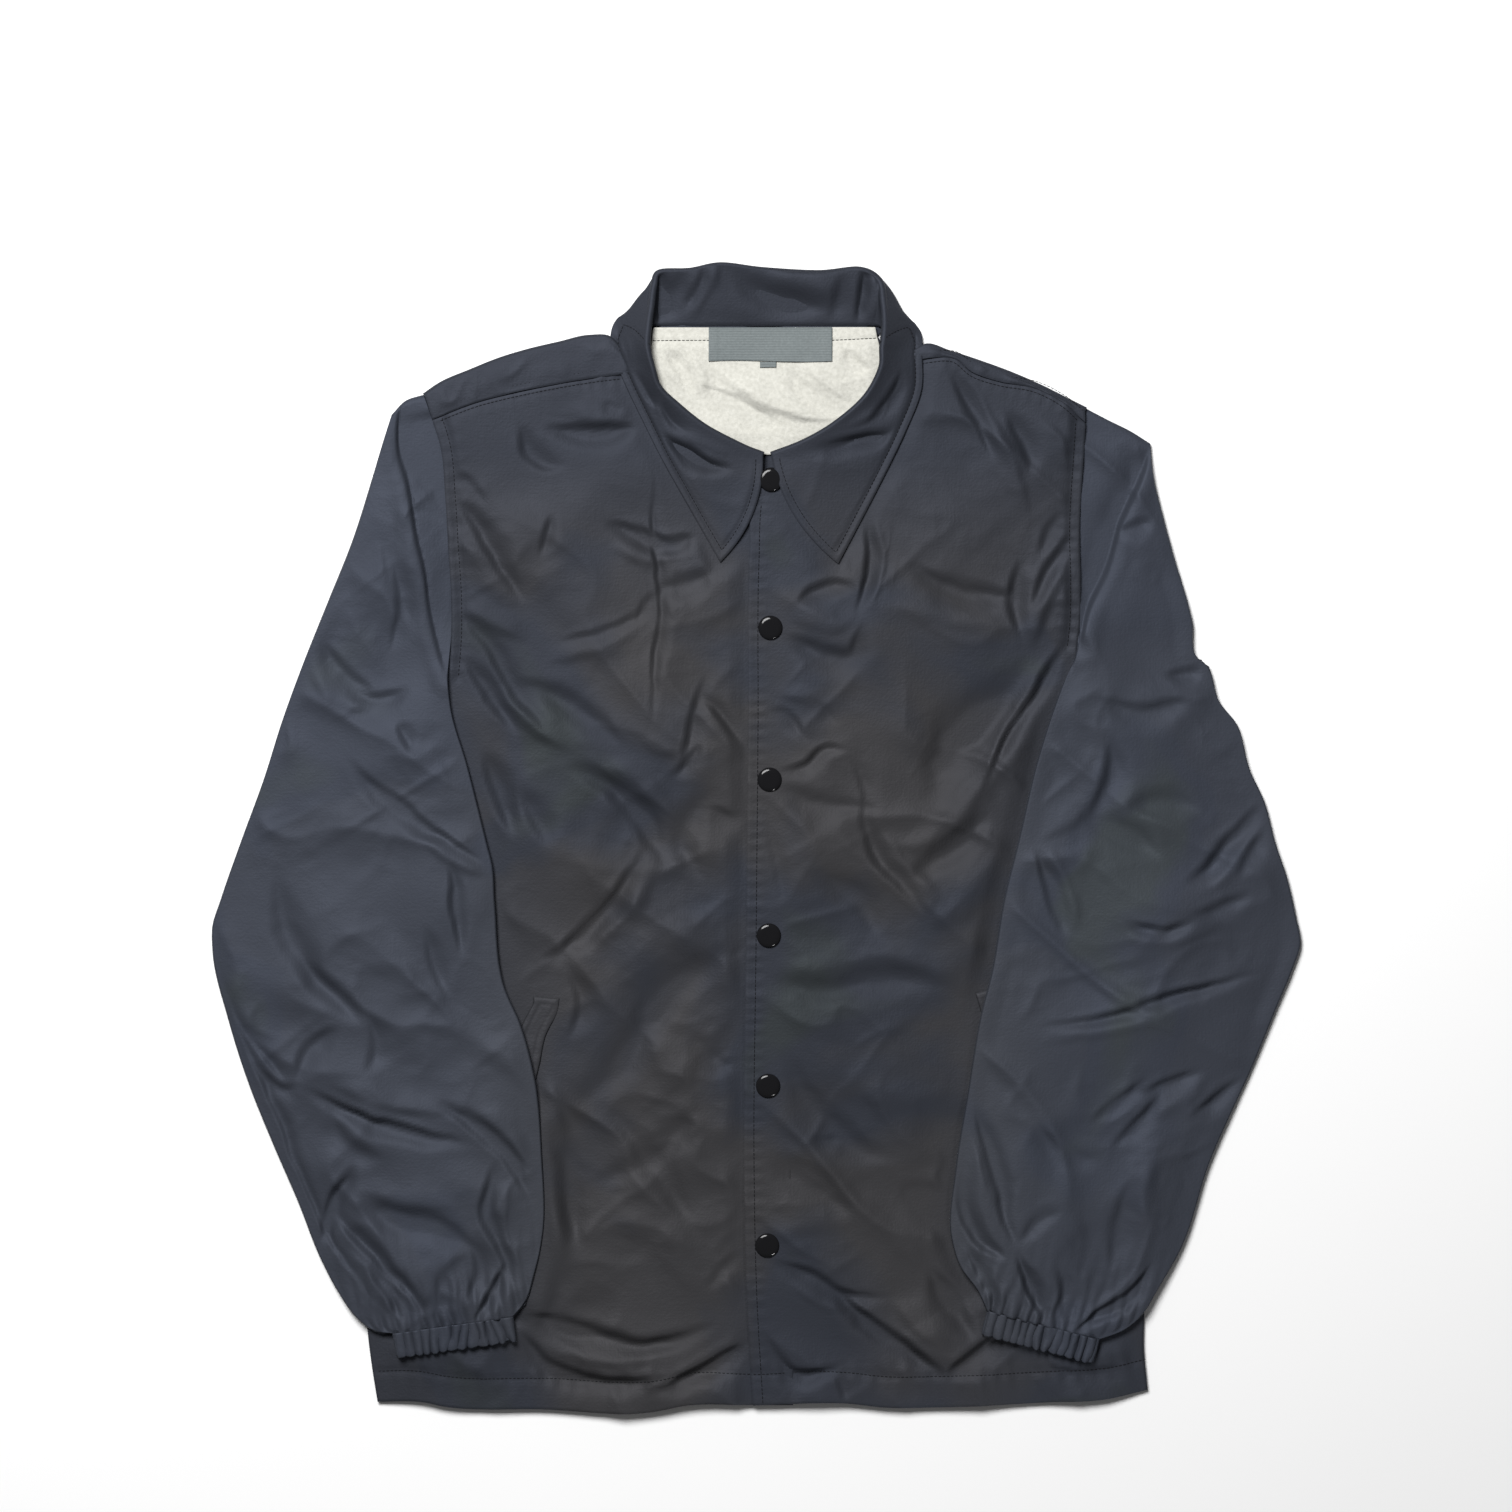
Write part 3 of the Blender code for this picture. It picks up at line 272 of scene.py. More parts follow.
RIGHT_FRONT_CREASES = [
    Crease(1.7, 5.0, [(962, 366), (988, 410), (1012, 460), (1030, 520)]),
    Crease(-1.5, 5.0, [(950, 372), (975, 414), (995, 462)]),
    Crease(-1.5, 4.0, [(1006, 410), (1022, 444), (1032, 480)]),
    Crease(1.4, 4.0, [(1040, 420), (1058, 436), (1066, 470)]),
    Crease(-1.8, 3.5, [(866, 512), (870, 570), (858, 612)]),
    Crease(1.3, 4.0, [(876, 516), (882, 570), (874, 606)]),
    Crease(-1.8, 4.0, [(796, 606), (814, 590), (834, 582), (858, 588)]),
    Crease(-1.6, 5.5, [(780, 634), (820, 650), (850, 654), (866, 622)]),
    Crease(1.4, 6.0, [(790, 616), (830, 628), (858, 620)]),
    Crease(-1.7, 6.0, [(908, 562), (947, 583), (990, 594), (1026, 598)]),
    Crease(1.3, 8.0, [(900, 606), (960, 620), (1010, 630)]),
    Crease(-1.5, 3.5, [(1062, 512), (1048, 532), (1038, 556)]),
    Crease(-1.8, 4.0, [(1076, 530), (1050, 566), (1030, 610)]),
    Crease(1.8, 5.0, [(1070, 556), (1046, 600), (1032, 650)]),
    Crease(-1.7, 4.0, [(1020, 560), (1012, 600), (1022, 640)]),
    Crease(-2.3, 13.0, [(1030, 660), (990, 712), (944, 752), (930, 800)]),
    Crease(2.4, 7.0, [(1052, 660), (1024, 716), (976, 792), (910, 846), (868, 836)]),
    Crease(-2.9, 3.6, [(1072, 636), (1050, 672), (1020, 716), (980, 796)]),
    Crease(-2.2, 5.0, [(1064, 700), (1048, 735), (1032, 780), (1020, 820)]),
    Crease(-1.9, 8.0, [(990, 812), (950, 850), (908, 880)]),
    Crease(1.4, 8.0, [(1000, 850), (960, 900), (930, 930)]),
    Crease(-1.5, 3.0, [(776, 774), (806, 766), (826, 748), (848, 750)]),
    Crease(-0.7, 3.5, [(850, 756), (864, 790), (858, 840)]),
    Crease(-1.1, 6.0, [(774, 786), (814, 800), (880, 812)]),
    Crease(-1.5, 4.0, [(858, 812), (876, 862), (928, 914)]),
    Crease(1.3, 5.0, [(880, 826), (904, 866), (946, 902)]),
    Crease(-1.2, 3.0, [(763, 708), (786, 712), (808, 744)]),
    Crease(1.3, 4.0, [(772, 692), (800, 696), (830, 716)]),
    Crease(-1.1, 3.0, [(768, 822), (774, 856), (782, 902)]),
    Crease(-1.0, 3.5, [(802, 694), (822, 706), (840, 726)]),
    Crease(-1.3, 8.0, [(810, 870), (860, 900), (880, 940)]),
    Crease(-1.6, 9.0, [(762, 976), (820, 990), (890, 976), (950, 986)]),
    Crease(1.5, 8.0, [(764, 960), (830, 968), (900, 958), (972, 990)]),
    Crease(-1.5, 9.0, [(780, 1050), (800, 1090), (850, 1140), (900, 1160)]),
    Crease(1.3, 9.0, [(800, 1040), (850, 1080), (900, 1100), (950, 1090)]),
    Crease(-1.2, 3.0, [(812, 1136), (826, 1140), (840, 1138)]),
    Crease(-1.4, 9.0, [(760, 1160), (800, 1180), (850, 1220)]),
    Crease(-2.2, 8.0, [(900, 1186), (930, 1204), (960, 1240)]),
    Crease(1.2, 9.0, [(840, 1190), (900, 1240), (930, 1270)]),
    Crease(-1.3, 3.5, [(756, 1216), (768, 1232), (780, 1236)]),
    Crease(-1.6, 4.0, [(760, 1256), (813, 1274), (841, 1290), (892, 1296)]),
    Crease(1.3, 5.0, [(790, 1284), (830, 1302), (860, 1308)]),
    Crease(-2.9, 4.5, [(836, 1286), (875, 1326), (918, 1352), (948, 1373)]),
    Crease(1.8, 6.0, [(890, 1296), (920, 1328), (950, 1346)]),
    Crease(-2.6, 5.0, [(1000, 1332), (970, 1356), (944, 1374)]),
    Crease(-2.0, 4.0, [(760, 1318), (772, 1346), (792, 1369), (846, 1362)]),
    Crease(-1.3, 3.0, [(834, 1370), (842, 1386), (846, 1401)]),
    Crease(-2.4, 8.0, [(930, 1270), (950, 1300), (972, 1340)]),
    Crease(-1.1, 5.0, [(1040, 1366), (1090, 1372), (1140, 1366)]),
    Crease(-1.2, 3.5, [(772, 1376), (790, 1390), (786, 1402)]),
]
LEFT_SLEEVE_CREASES = [
    Crease(-2.1, 4.0, [(346, 760), (400, 806), (446, 840), (494, 866)]),
    Crease(2.2, 4.5, [(420, 838), (455, 860), (492, 876)]),
    Crease(1.2, 6.0, [(360, 790), (400, 826), (430, 850)]),
    Crease(-2.0, 3.0, [(451, 862), (456, 905), (462, 955)]),
    Crease(-1.2, 3.5, [(426, 925), (435, 965), (449, 996)]),
    Crease(-1.5, 3.0, [(398, 722), (404, 735), (414, 752)]),
    Crease(-1.3, 5.0, [(320, 640), (345, 672), (380, 698)]),
    Crease(-1.6, 4.0, [(348, 690), (376, 700), (410, 690)]),
    Crease(1.3, 6.0, [(300, 650), (340, 700), (400, 712)]),
    Crease(-1.2, 5.0, [(396, 560), (404, 600), (392, 650)]),
    Crease(1.2, 6.0, [(380, 540), (390, 600), (420, 640)]),
    Crease(-1.6, 7.0, [(276, 870), (284, 925), (315, 975), (366, 1022)]),
    Crease(-1.8, 6.0, [(300, 958), (340, 995), (372, 1016)]),
    Crease(-1.9, 3.5, [(262, 1068), (286, 1088), (302, 1084)]),
    Crease(-1.8, 5.0, [(298, 1084), (308, 1050), (340, 1026)]),
    Crease(-1.2, 3.0, [(234, 1010), (262, 1050), (290, 1082)]),
    Crease(-1.3, 4.0, [(370, 1008), (376, 1035), (368, 1074)]),
    Crease(-2.7, 3.6, [(308, 1088), (345, 1106), (385, 1124), (470, 1142)]),
    Crease(1.9, 5.0, [(330, 1082), (390, 1104), (450, 1112)]),
    Crease(-1.6, 6.0, [(330, 1110), (350, 1142), (386, 1158)]),
    Crease(-2.6, 3.2, [(434, 1098), (470, 1126), (506, 1154), (532, 1196)]),
    Crease(2.0, 4.5, [(470, 1108), (506, 1134), (534, 1166)]),
    Crease(-2.7, 4.0, [(356, 1164), (334, 1200), (320, 1248)]),
    Crease(-2.6, 4.5, [(500, 1160), (485, 1206), (498, 1236), (512, 1284)]),
    Crease(2.0, 4.0, [(512, 1180), (506, 1220), (524, 1270)]),
    Crease(-2.2, 7.0, [(352, 1206), (400, 1216), (440, 1228), (484, 1252)]),
    Crease(1.8, 6.0, [(350, 1190), (400, 1196), (460, 1206)]),
    Crease(-2.4, 3.6, [(334, 1208), (377, 1257), (427, 1312)]),
    Crease(1.5, 3.6, [(352, 1250), (386, 1286), (408, 1318)]),
    Crease(-1.8, 3.4, [(366, 1262), (388, 1290), (403, 1322)]),
    Crease(-2.0, 3.4, [(436, 1268), (441, 1292), (436, 1318)]),
    Crease(-3.0, 3.2, [(508, 1262), (492, 1290), (474, 1318)]),
    Crease(1.8, 4.0, [(420, 1310), (440, 1268), (470, 1250)]),
    Crease(-1.8, 4.0, [(472, 1240), (478, 1270), (466, 1300)]),
    Crease(-1.1, 2.2, [(213, 948), (246, 1039), (279, 1112), (330, 1234), (389, 1316)]),
]
RIGHT_SLEEVE_CREASES = [
    Crease(1.5, 5.0, [(1104, 730), (1096, 778), (1078, 812), (1036, 842)]),
    Crease(-1.4, 5.0, [(1112, 740), (1106, 786), (1086, 822)]),
    Crease(-2.1, 4.5, [(1034, 852), (1048, 890), (1062, 936)]),
    Crease(1.6, 5.0, [(1046, 850), (1066, 890), (1078, 930)]),
    Crease(-1.7, 8.0, [(1080, 818), (1120, 832), (1160, 858)]),
    Crease(-1.5, 7.0, [(1120, 812), (1160, 800), (1200, 812)]),
    Crease(-2.3, 3.4, [(1124, 922), (1160, 930), (1194, 918)]),
    Crease(-1.8, 3.4, [(1190, 914), (1215, 906), (1250, 892)]),
    Crease(1.4, 5.0, [(1130, 940), (1176, 940), (1220, 922)]),
    Crease(-2.3, 4.5, [(1268, 802), (1229, 844), (1184, 884)]),
    Crease(-1.7, 4.0, [(1266, 830), (1248, 856), (1236, 876)]),
    Crease(1.6, 6.0, [(1270, 816), (1240, 852), (1206, 890)]),
    Crease(-2.1, 3.2, [(1036, 1027), (1076, 1020), (1117, 1010), (1172, 994), (1262, 973)]),
    Crease(1.2, 5.0, [(1040, 1042), (1100, 1030), (1180, 1008)]),
    Crease(-1.8, 3.4, [(1090, 1120), (1118, 1100), (1146, 1076)]),
    Crease(-1.6, 3.4, [(1134, 1092), (1160, 1084), (1200, 1070)]),
    Crease(-1.8, 3.6, [(1112, 1146), (1134, 1122), (1160, 1092)]),
    Crease(-1.8, 4.0, [(1190, 1116), (1217, 1096), (1246, 1074)]),
    Crease(-1.7, 3.4, [(1112, 534), (1132, 526), (1154, 518)]),
    Crease(-2.6, 3.0, [(1164, 676), (1182, 673), (1204, 666)]),
    Crease(2.2, 4.0, [(966, 1110), (978, 1160), (986, 1206), (1010, 1254), (1036, 1310)]),
    Crease(-2.2, 4.0, [(976, 1106), (990, 1160), (1000, 1206), (1018, 1250)]),
    Crease(-2.2, 4.0, [(954, 1160), (962, 1212), (976, 1236), (1012, 1266)]),
    Crease(-3.2, 3.6, [(1006, 1248), (1022, 1274), (1042, 1318)]),
    Crease(-1.8, 3.4, [(966, 1246), (982, 1280), (1000, 1310)]),
    Crease(-1.8, 6.0, [(1016, 1244), (1036, 1222), (1066, 1206)]),
    Crease(1.5, 7.0, [(1030, 1250), (1056, 1234), (1090, 1222)]),
    Crease(-2.5, 3.6, [(1074, 1332), (1100, 1310), (1122, 1298), (1150, 1262)]),
    Crease(-2.2, 3.2, [(1092, 1340), (1119, 1331), (1143, 1312)]),
    Crease(-1.6, 4.0, [(1056, 1262), (1062, 1290), (1060, 1322)]),
    Crease(-1.4, 5.0, [(1090, 700), (1140, 712), (1190, 700)]),
    Crease(-1.3, 6.0, [(1036, 1120), (1060, 1150), (1100, 1160)]),
    Crease(-1.4, 6.0, [(1130, 1180), (1120, 1220), (1110, 1270)]),
    Crease(1.3, 7.0, [(1150, 1150), (1140, 1200), (1136, 1240)]),
]
COLLAR_CREASES = [
    Crease(-2.4, 3.6, [(656, 436), (684, 448), (708, 464), (736, 470)]),
    Crease(1.5, 4.0, [(680, 432), (712, 448), (742, 456)]),
    Crease(-1.6, 5.0, [(664, 396), (672, 420), (690, 436)]),
    Crease(-2.4, 3.8, [(800, 452), (830, 446), (866, 438), (900, 430)]),
    Crease(1.6, 4.0, [(812, 436), (850, 424), (884, 410)]),
    Crease(-1.5, 4.0, [(866, 424), (888, 400), (900, 372)]),
    Crease(-1.3, 3.0, [(632, 372), (644, 394), (660, 410)]),
]
STAND_CREASES = [
    Crease(2.0, 3.4, [(718, 262), (714, 278), (702, 300), (694, 318)]),
    Crease(-2.2, 4.0, [(706, 268), (698, 288), (684, 308)]),
    Crease(-2.4, 3.4, [(657, 268), (660, 294), (658, 328)]),
    Crease(-1.6, 7.0, [(684, 272), (674, 300), (668, 326)]),
    Crease(-1.7, 9.0, [(732, 276), (770, 298), (830, 306)]),
    Crease(1.8, 8.0, [(760, 282), (800, 286), (850, 292)]),
    Crease(-2.2, 3.0, [(864, 266), (860, 294), (856, 326)]),
    Crease(1.6, 3.4, [(872, 270), (874, 296), (872, 320)]),
    Crease(-1.4, 4.0, [(842, 276), (836, 300), (830, 320)]),
]
LINING_CREASES = [
    Crease(1.8, 5.0, [(712, 366), (735, 384), (770, 404), (812, 418), (840, 420)]),
    Crease(-1.6, 5.0, [(700, 386), (735, 402), (780, 424)]),
    Crease(1.5, 4.0, [(800, 362), (826, 384), (852, 402)]),
    Crease(-1.5, 4.0, [(790, 370), (815, 396), (846, 412)]),
    Crease(-1.6, 4.0, [(664, 352), (680, 372), (690, 396)]),
    Crease(1.4, 4.0, [(684, 350), (700, 372), (712, 400)]),
    Crease(-1.4, 3.6, [(846, 348), (858, 364), (872, 372)]),
]

Sleeve = namedtuple("Sleeve", "outer cap armhole inner pleat creases side seed cuff_seed")
"""A sleeve's outlines and creases, its side of the photograph, which is -1 for left and 1 for
right, and the seeds of its own unevenness and of its cuff's."""

SLEEVES = {
    "right": Sleeve(
        LEFT_OUTER, LEFT_SLEEVE_TOP, LEFT_ARMHOLE, LEFT_INNER, LEFT_PLEAT, LEFT_SLEEVE_CREASES,
        -1, 131, 5,
    ),
    "left": Sleeve(
        RIGHT_OUTER, RIGHT_SLEEVE_TOP, RIGHT_ARMHOLE, RIGHT_INNER, RIGHT_PLEAT,
        RIGHT_SLEEVE_CREASES, 1, 171, 8,
    ),
}
SLEEVE_PANELS = {"under": (150, 46, 1.2), "top": (290, 104, 0.0)}
"""Rows and columns of each panel's grid, and how far it reaches in under the armhole seam."""

# Collar sections from the left point round the neck to the right point, in mm. The seam is
# where the stand meets the neck, the roll is the fold between stand and fall, and the edge is
# the fall's free edge. under is 0 where that edge lies on the front and 1 where it lies on the
# floor. turn is 0 where the fall lies over the stand, 90 where the collar stands up and 180
# behind the neck, where the fall is folded under. bulge pushes the fall's middle outwards, and
# bow pushes it along the roll, back towards the section before.
COLLAR = np.array(
    [
        (-2, 241, 5, 249, 6.2, -23.5, 178, 0, 0, 0, 8),
        (-14, 243, -9, 254.5, 7.4, -35, 198, 0, 0, 0, 4),
        (-36, 254.5, -33, 267, 9.4, -47.5, 220, 0, 0, 0, 1),
        (-57, 268.5, -52, 282, 11.0, -61, 244, 0, 0, 0, 0),
        (-73, 287, -62, 292, 12.5, -74, 270, 0, 0, 0, 0),
        (-78.5, 299, -66, 304, 14.0, -86, 295, 0, 0, 0, 0),
        (-80, 309, -69, 317, 14.5, -93.5, 315, 0, 20, 0, 0),
        (-76, 321, -69, 329, 14.0, -94.5, 328, 0.2, 50, 1, 0),
        (-69, 330.5, -68, 343, 12.0, -89, 337, 0.7, 80, 3, 0),
        (-64, 331.6, -67, 357, 9.0, -77, 333, 1, 110, 6, 0),
        (-56, 331.6, -63.5, 367, 7.4, -63, 320, 1, 150, 3, 0),
        (-42, 331.6, -43, 368.5, 6.6, -42, 314, 1, 180, 0, 0),
        (-22, 331.6, -23, 372, 7.2, -20, 312, 1, 180, 0, 0),
        (5, 331.6, 4, 369, 6.2, 5, 311, 1, 180, 0, 0),
        (40, 331.8, 40, 367, 6.4, 40, 312, 1, 180, 0, 0),
        (66, 331.8, 67, 369, 7.6, 70, 320, 1, 155, 2, 0),
        (75, 331.8, 80, 361, 8.5, 87, 331, 1, 115, 5, 0),
        (81, 330.5, 82, 346, 12.0, 99, 335, 0.7, 80, 3, 0),
        (88, 321, 82, 331, 14.0, 107, 327, 0.2, 50, 1, 0),
        (92, 312, 80, 317, 14.5, 107.5, 312, 0, 20, 0, 0),
        (91.5, 300, 79, 303, 14.0, 107, 289, 0, 0, 0, 0),
        (85, 287, 69, 285, 12.5, 97, 263, 0, 0, 0, 0),
        (71, 269, 50, 268.5, 11.0, 84, 236, 0, 0, 0, 0),
        (49, 255, 30, 257, 9.0, 69.5, 208, 0, 0, 0, -4),
        (27, 243, 9, 249, 6.6, 53, 177, 0, 0, 0, -8),
    ],
    dtype=[
        (n, float)
        for n in (
            "seam_x", "seam_y", "roll_x", "roll_y", "roll_z",
            "edge_x", "edge_y", "under", "turn", "bulge", "bow",
        )
    ],
)
# Curves, grids and noise


def photo(points):
    """Plan points in mm from pixels of the photograph."""
    return (np.asarray(points, float) - PHOTO_CENTRE) * (PHOTO_SCALE, -PHOTO_SCALE)


def along(points, count):
    """count points, evenly spaced along a smooth curve through the given ones: cubic Hermite
    segments whose tangents are weighted by the lengths of the segments on both sides."""
    p = np.asarray(points, float)
    steps = np.diff(p, axis=0)
    d = np.linalg.norm(steps, axis=1, keepdims=True)
    slope = steps / d
    middle = (slope[:-1] * d[1:] + slope[1:] * d[:-1]) / (d[:-1] + d[1:])
    m = np.vstack([slope[:1], middle, slope[-1:]])
    t = np.linspace(0, 1, 13)[:-1, None]
    runs = [
        (2 * t**3 - 3 * t**2 + 1) * a
        + (t**3 - 2 * t**2 + t) * size * ma
        + (3 * t**2 - 2 * t**3) * b
        + (t**3 - t**2) * size * mb
        for a, b, ma, mb, size in zip(p, p[1:], m, m[1:], d)
    ]
    curve = np.vstack(runs + [p[-1:]])
    length = np.concatenate([[0], np.cumsum(np.linalg.norm(np.diff(curve, axis=0), axis=1))])
    even = np.linspace(0, length[-1], count)
    return np.stack([np.interp(even, length, curve[:, k]) for k in range(curve.shape[1])], axis=1)


def spline(values, where):
    """Catmull-Rom interpolation of a column at fractional rows."""
    v = np.concatenate([[2 * values[0] - values[1]], values, [2 * values[-1] - values[-2]]])
    k = np.minimum(np.floor(where).astype(int), len(values) - 2)
    t = where - k
    a, b, c, d = v[k], v[k + 1], v[k + 2], v[k + 3]
    return 0.5 * (
        2 * b + (c - a) * t + (2 * a - 5 * b + 4 * c - d) * t**2 + (3 * b - a - 3 * c + d) * t**3
    )


def length_of(line):
    """Length of a line through its points."""
    return np.linalg.norm(np.diff(line, axis=0), axis=1).sum()


def coons(left, right, low, top, crowd=0.0):
    """Plan points between four edges: both pairs of edges blended, less the blend of corners.

    Rows run from the low edge to the top edge. crowd from 0 to 1 draws the columns towards the
    left and right edges.
    """
    s = np.linspace(0, 1, len(low))
    s = (1 - crowd) * s + crowd * 0.5 * (1 - np.cos(np.pi * s))
    even = np.linspace(0, 1, len(low))
    low = np.stack([np.interp(s, even, low[:, k]) for k in (0, 1)], axis=1)
    top = np.stack([np.interp(s, even, top[:, k]) for k in (0, 1)], axis=1)
    u = s[None, :, None]
    v = np.linspace(0, 1, len(left))[:, None, None]
    corners = (
        (1 - u) * (1 - v) * low[0] + u * (1 - v) * low[-1] + (1 - u) * v * top[0] + u * v * top[-1]
    )
    sides = (1 - u) * left[:, None] + u * right[:, None]
    return sides + (1 - v) * low[None] + v * top[None] - corners


def smooth(t):
    """Smooth step: 0 up to 0, 1 from 1 on, and level at both ends."""
    t = np.clip(t, 0, 1)
    return t * t * (3 - 2 * t)


def round_off(d, width):
    """A quarter of an ellipse that rises from 0 at an edge to 1 at width."""
    return np.sqrt(1 - (1 - np.clip(d / width, 0, 1)) ** 2)


def near(plan, line):
    """Distance of each plan point from a line, how far along the line its nearest point lies,
    and whether it lies to the right of the line as the line runs."""
    gap = np.full(plan.shape[:-1], np.inf)
    run = np.zeros(plan.shape[:-1])
    right = np.zeros(plan.shape[:-1], bool)
    start = 0.0
    for a, b in zip(line, line[1:]):
        step = b - a
        length = max(np.hypot(*step), 1e-6)
        t = np.clip(((plan - a) @ step) / length**2, 0, 1)
        off = plan - a - t[..., None] * step
        d = np.hypot(off[..., 0], off[..., 1])
        closer = d < gap
        gap = np.where(closer, d, gap)
        run = np.where(closer, start + t * length, run)
        right = np.where(closer, step[0] * off[..., 1] < step[1] * off[..., 0], right)
        start += length
    return gap, run, right


def noise(plan, size, seed):
    """Noise from -1 to 1 with bumps about size mm across: random values at the corners of a
    square lattice, joined by smooth steps."""
    lattice = np.random.default_rng(seed).uniform(-1, 1, (128, 128))
    p = plan / size + 50
    cell = np.floor(p).astype(int)
    f = smooth(p - cell)
    i, j = cell[..., 0] % 128, cell[..., 1] % 128
    k, l = (i + 1) % 128, (j + 1) % 128
    low = lattice[i, j] * (1 - f[..., 0]) + lattice[k, j] * f[..., 0]
    high = lattice[i, l] * (1 - f[..., 0]) + lattice[k, l] * f[..., 0]
    return low * (1 - f[..., 1]) + high * f[..., 1]


def crumple(plan, size, seed, lean=0.0, stretch=1.0):
    """Crumpled cloth from -1 to 1: narrow ridges where a warped noise passes through 0. The
    ridges run longer, by stretch, in the direction that leans by that many degrees from +X."""
    c, s = math.cos(math.radians(lean)), math.sin(math.radians(lean))
    turned = np.stack(
        [(plan[..., 0] * c + plan[..., 1] * s) / stretch, plan[..., 1] * c - plan[..., 0] * s],
        axis=-1,
    )
    warp = np.stack([noise(turned, size * 1.7, seed + k) for k in (1, 2)], axis=-1)
    turned = turned + 0.45 * size * warp
    n = noise(turned, size, seed) + 0.45 * noise(turned, size / 2.1, seed + 3)
    return 2 * (1 - np.minimum(np.abs(n) * 1.5, 1)) ** 2 - 0.5


def creases(plan, table):
    """Sum of the table's creases. Across its line a crease is a bell, and a narrow one drops
    short and steep on the wall that the light leaves darker and runs out long on the other. A
    trough has a low shoulder on each side, and fine wrinkles follow the line. All fade out at
    its ends, and the line wanders a little."""
    flat = plan.reshape(-1, 2)
    wander = np.stack([noise(flat, 23, 801), noise(flat, 23, 802)], axis=-1)
    wander += 0.35 * np.stack([noise(flat, 8, 803), noise(flat, 8, 804)], axis=-1)
    z = np.zeros(len(flat))
    for number, crease in enumerate(table):
        line = along(photo(crease.line), 8 * len(crease.line))
        ends = 1.2 * (line[[0, -1]] - line[[1, -2]])
        line = np.vstack([line[:1] + ends[:1], line, line[-1:] + ends[1:]])
        reach = 6 * crease.width + 12
        inside = np.all((flat > line.min(0) - reach) & (flat < line.max(0) + reach), axis=1)
        if not inside.any():
            continue
        at = flat[inside]
        length = length_of(line)
        gap, run, right = near(at + min(2.0, length / 45) * wander[inside], line)
        t = run / length
        chord = line[-1] - line[0]
        shaded = right == (chord[0] + chord[1] > 0)
        taper = smooth(t / 0.36) * smooth((1 - t) / 0.36)
        steep = shaded == (crease.height > 0)
        narrow = smooth((8.5 - crease.width) / 4)
        side = np.where(steep, 1 - 0.42 * narrow, 1 + 0.9 * narrow)
        width = np.maximum(crease.width * (0.3 + 0.85 * np.sin(np.pi * t)) * side, 1.5)
        bell = np.exp(-((gap / width) ** 2))
        if crease.height < 0:
            bell = bell - 0.22 * np.exp(-((gap / (2.3 * width)) ** 2))
        lean = math.degrees(math.atan2(chord[1], chord[0]))
        fine = crumple(at, 10.0, 820 + 5 * number, lean, 2.4)
        spread = np.exp(-((gap / (2.2 * crease.width + 6)) ** 2))
        gain = (2.7 if crease.height < 0 else 1.35) * (0.55 + 0.45 * smooth((length - 25) / 45))
        z[inside] += taper * (crease.height * gain * bell + 0.14 * fine * spread)
    return z.reshape(plan.shape[:-1])


def pucker(plan, line, pitch, reach, height, seed, groove=0.6):
    """Ripples across a seam: an uneven sine along it that fades with the distance from it, and
    a narrow groove on the seam itself."""
    flat = plan.reshape(-1, 2)
    z = np.zeros(len(flat))
    inside = np.all((flat > line.min(0) - 3 * reach) & (flat < line.max(0) + 3 * reach), axis=1)
    gap, run, _ = near(flat[inside], line)
    ticks = np.stack([run, np.full_like(run, 7.0 * seed)], axis=-1)
    phase = 2 * np.pi * run / pitch + 2.2 * noise(ticks, 2.2 * pitch, seed)
    size = 0.65 + 0.6 * noise(ticks, 3.1 * pitch, seed + 1)
    ripple = height * size * np.sin(phase) * np.exp(-((gap / reach) ** 2))
    z[inside] = ripple - groove * np.exp(-((gap / 2.1) ** 2))
    return z.reshape(plan.shape[:-1])


# Height maps of the solids


def solid_top(node):
    """Highest point of a solid over each square of the floor, smoothed and carried on past its
    border, and the squares that it lies over: the solid's triangles are filled with points, the
    squares keep the highest, and a box filter that looks only at filled squares is run."""
    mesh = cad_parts[node].data
    points = np.empty(len(mesh.vertices) * 3, np.float32)
    mesh.vertices.foreach_get("co", points)
    mesh.calc_loop_triangles()
    corners = np.empty(len(mesh.loop_triangles) * 3, np.int32)
    mesh.loop_triangles.foreach_get("vertices", corners)
    triangles = points.reshape(-1, 3)[corners].reshape(-1, 3, 3) / MM
    steps = 22
    a, b = np.meshgrid(np.linspace(0, 1, steps), np.linspace(0, 1, steps))
    keep = a + b <= 1
    weights = np.stack([1 - a[keep] - b[keep], a[keep], b[keep]], axis=1)
    spread = np.einsum("tck,wc->twk", triangles, weights).reshape(-1, 3)
    count = int(2 * HALF_FLOOR / RASTER) + 1
    ij = np.rint((spread[:, :2] + HALF_FLOOR) / RASTER).astype(int)
    heights = np.full((count, count), -1.0)
    np.maximum.at(heights, (ij[:, 0], ij[:, 1]), spread[:, 2])
    lies = heights >= 0
    filled = lies.astype(float)
    heights = np.where(lies, heights, 0)
    for _ in range(3):
        weight = box_filter(filled, 3)
        heights = box_filter(heights * filled, 3) / np.maximum(weight, 1e-6)
        filled = (weight > 1e-6).astype(float)
    return heights, lies


def box_filter(values, radius):
    """Mean over a square of 2 radius + 1 cells each way."""
    for axis in (0, 1):
        values = sum(np.roll(values, k, axis) for k in range(-radius, radius + 1))
    return values / (2 * radius + 1) ** 2


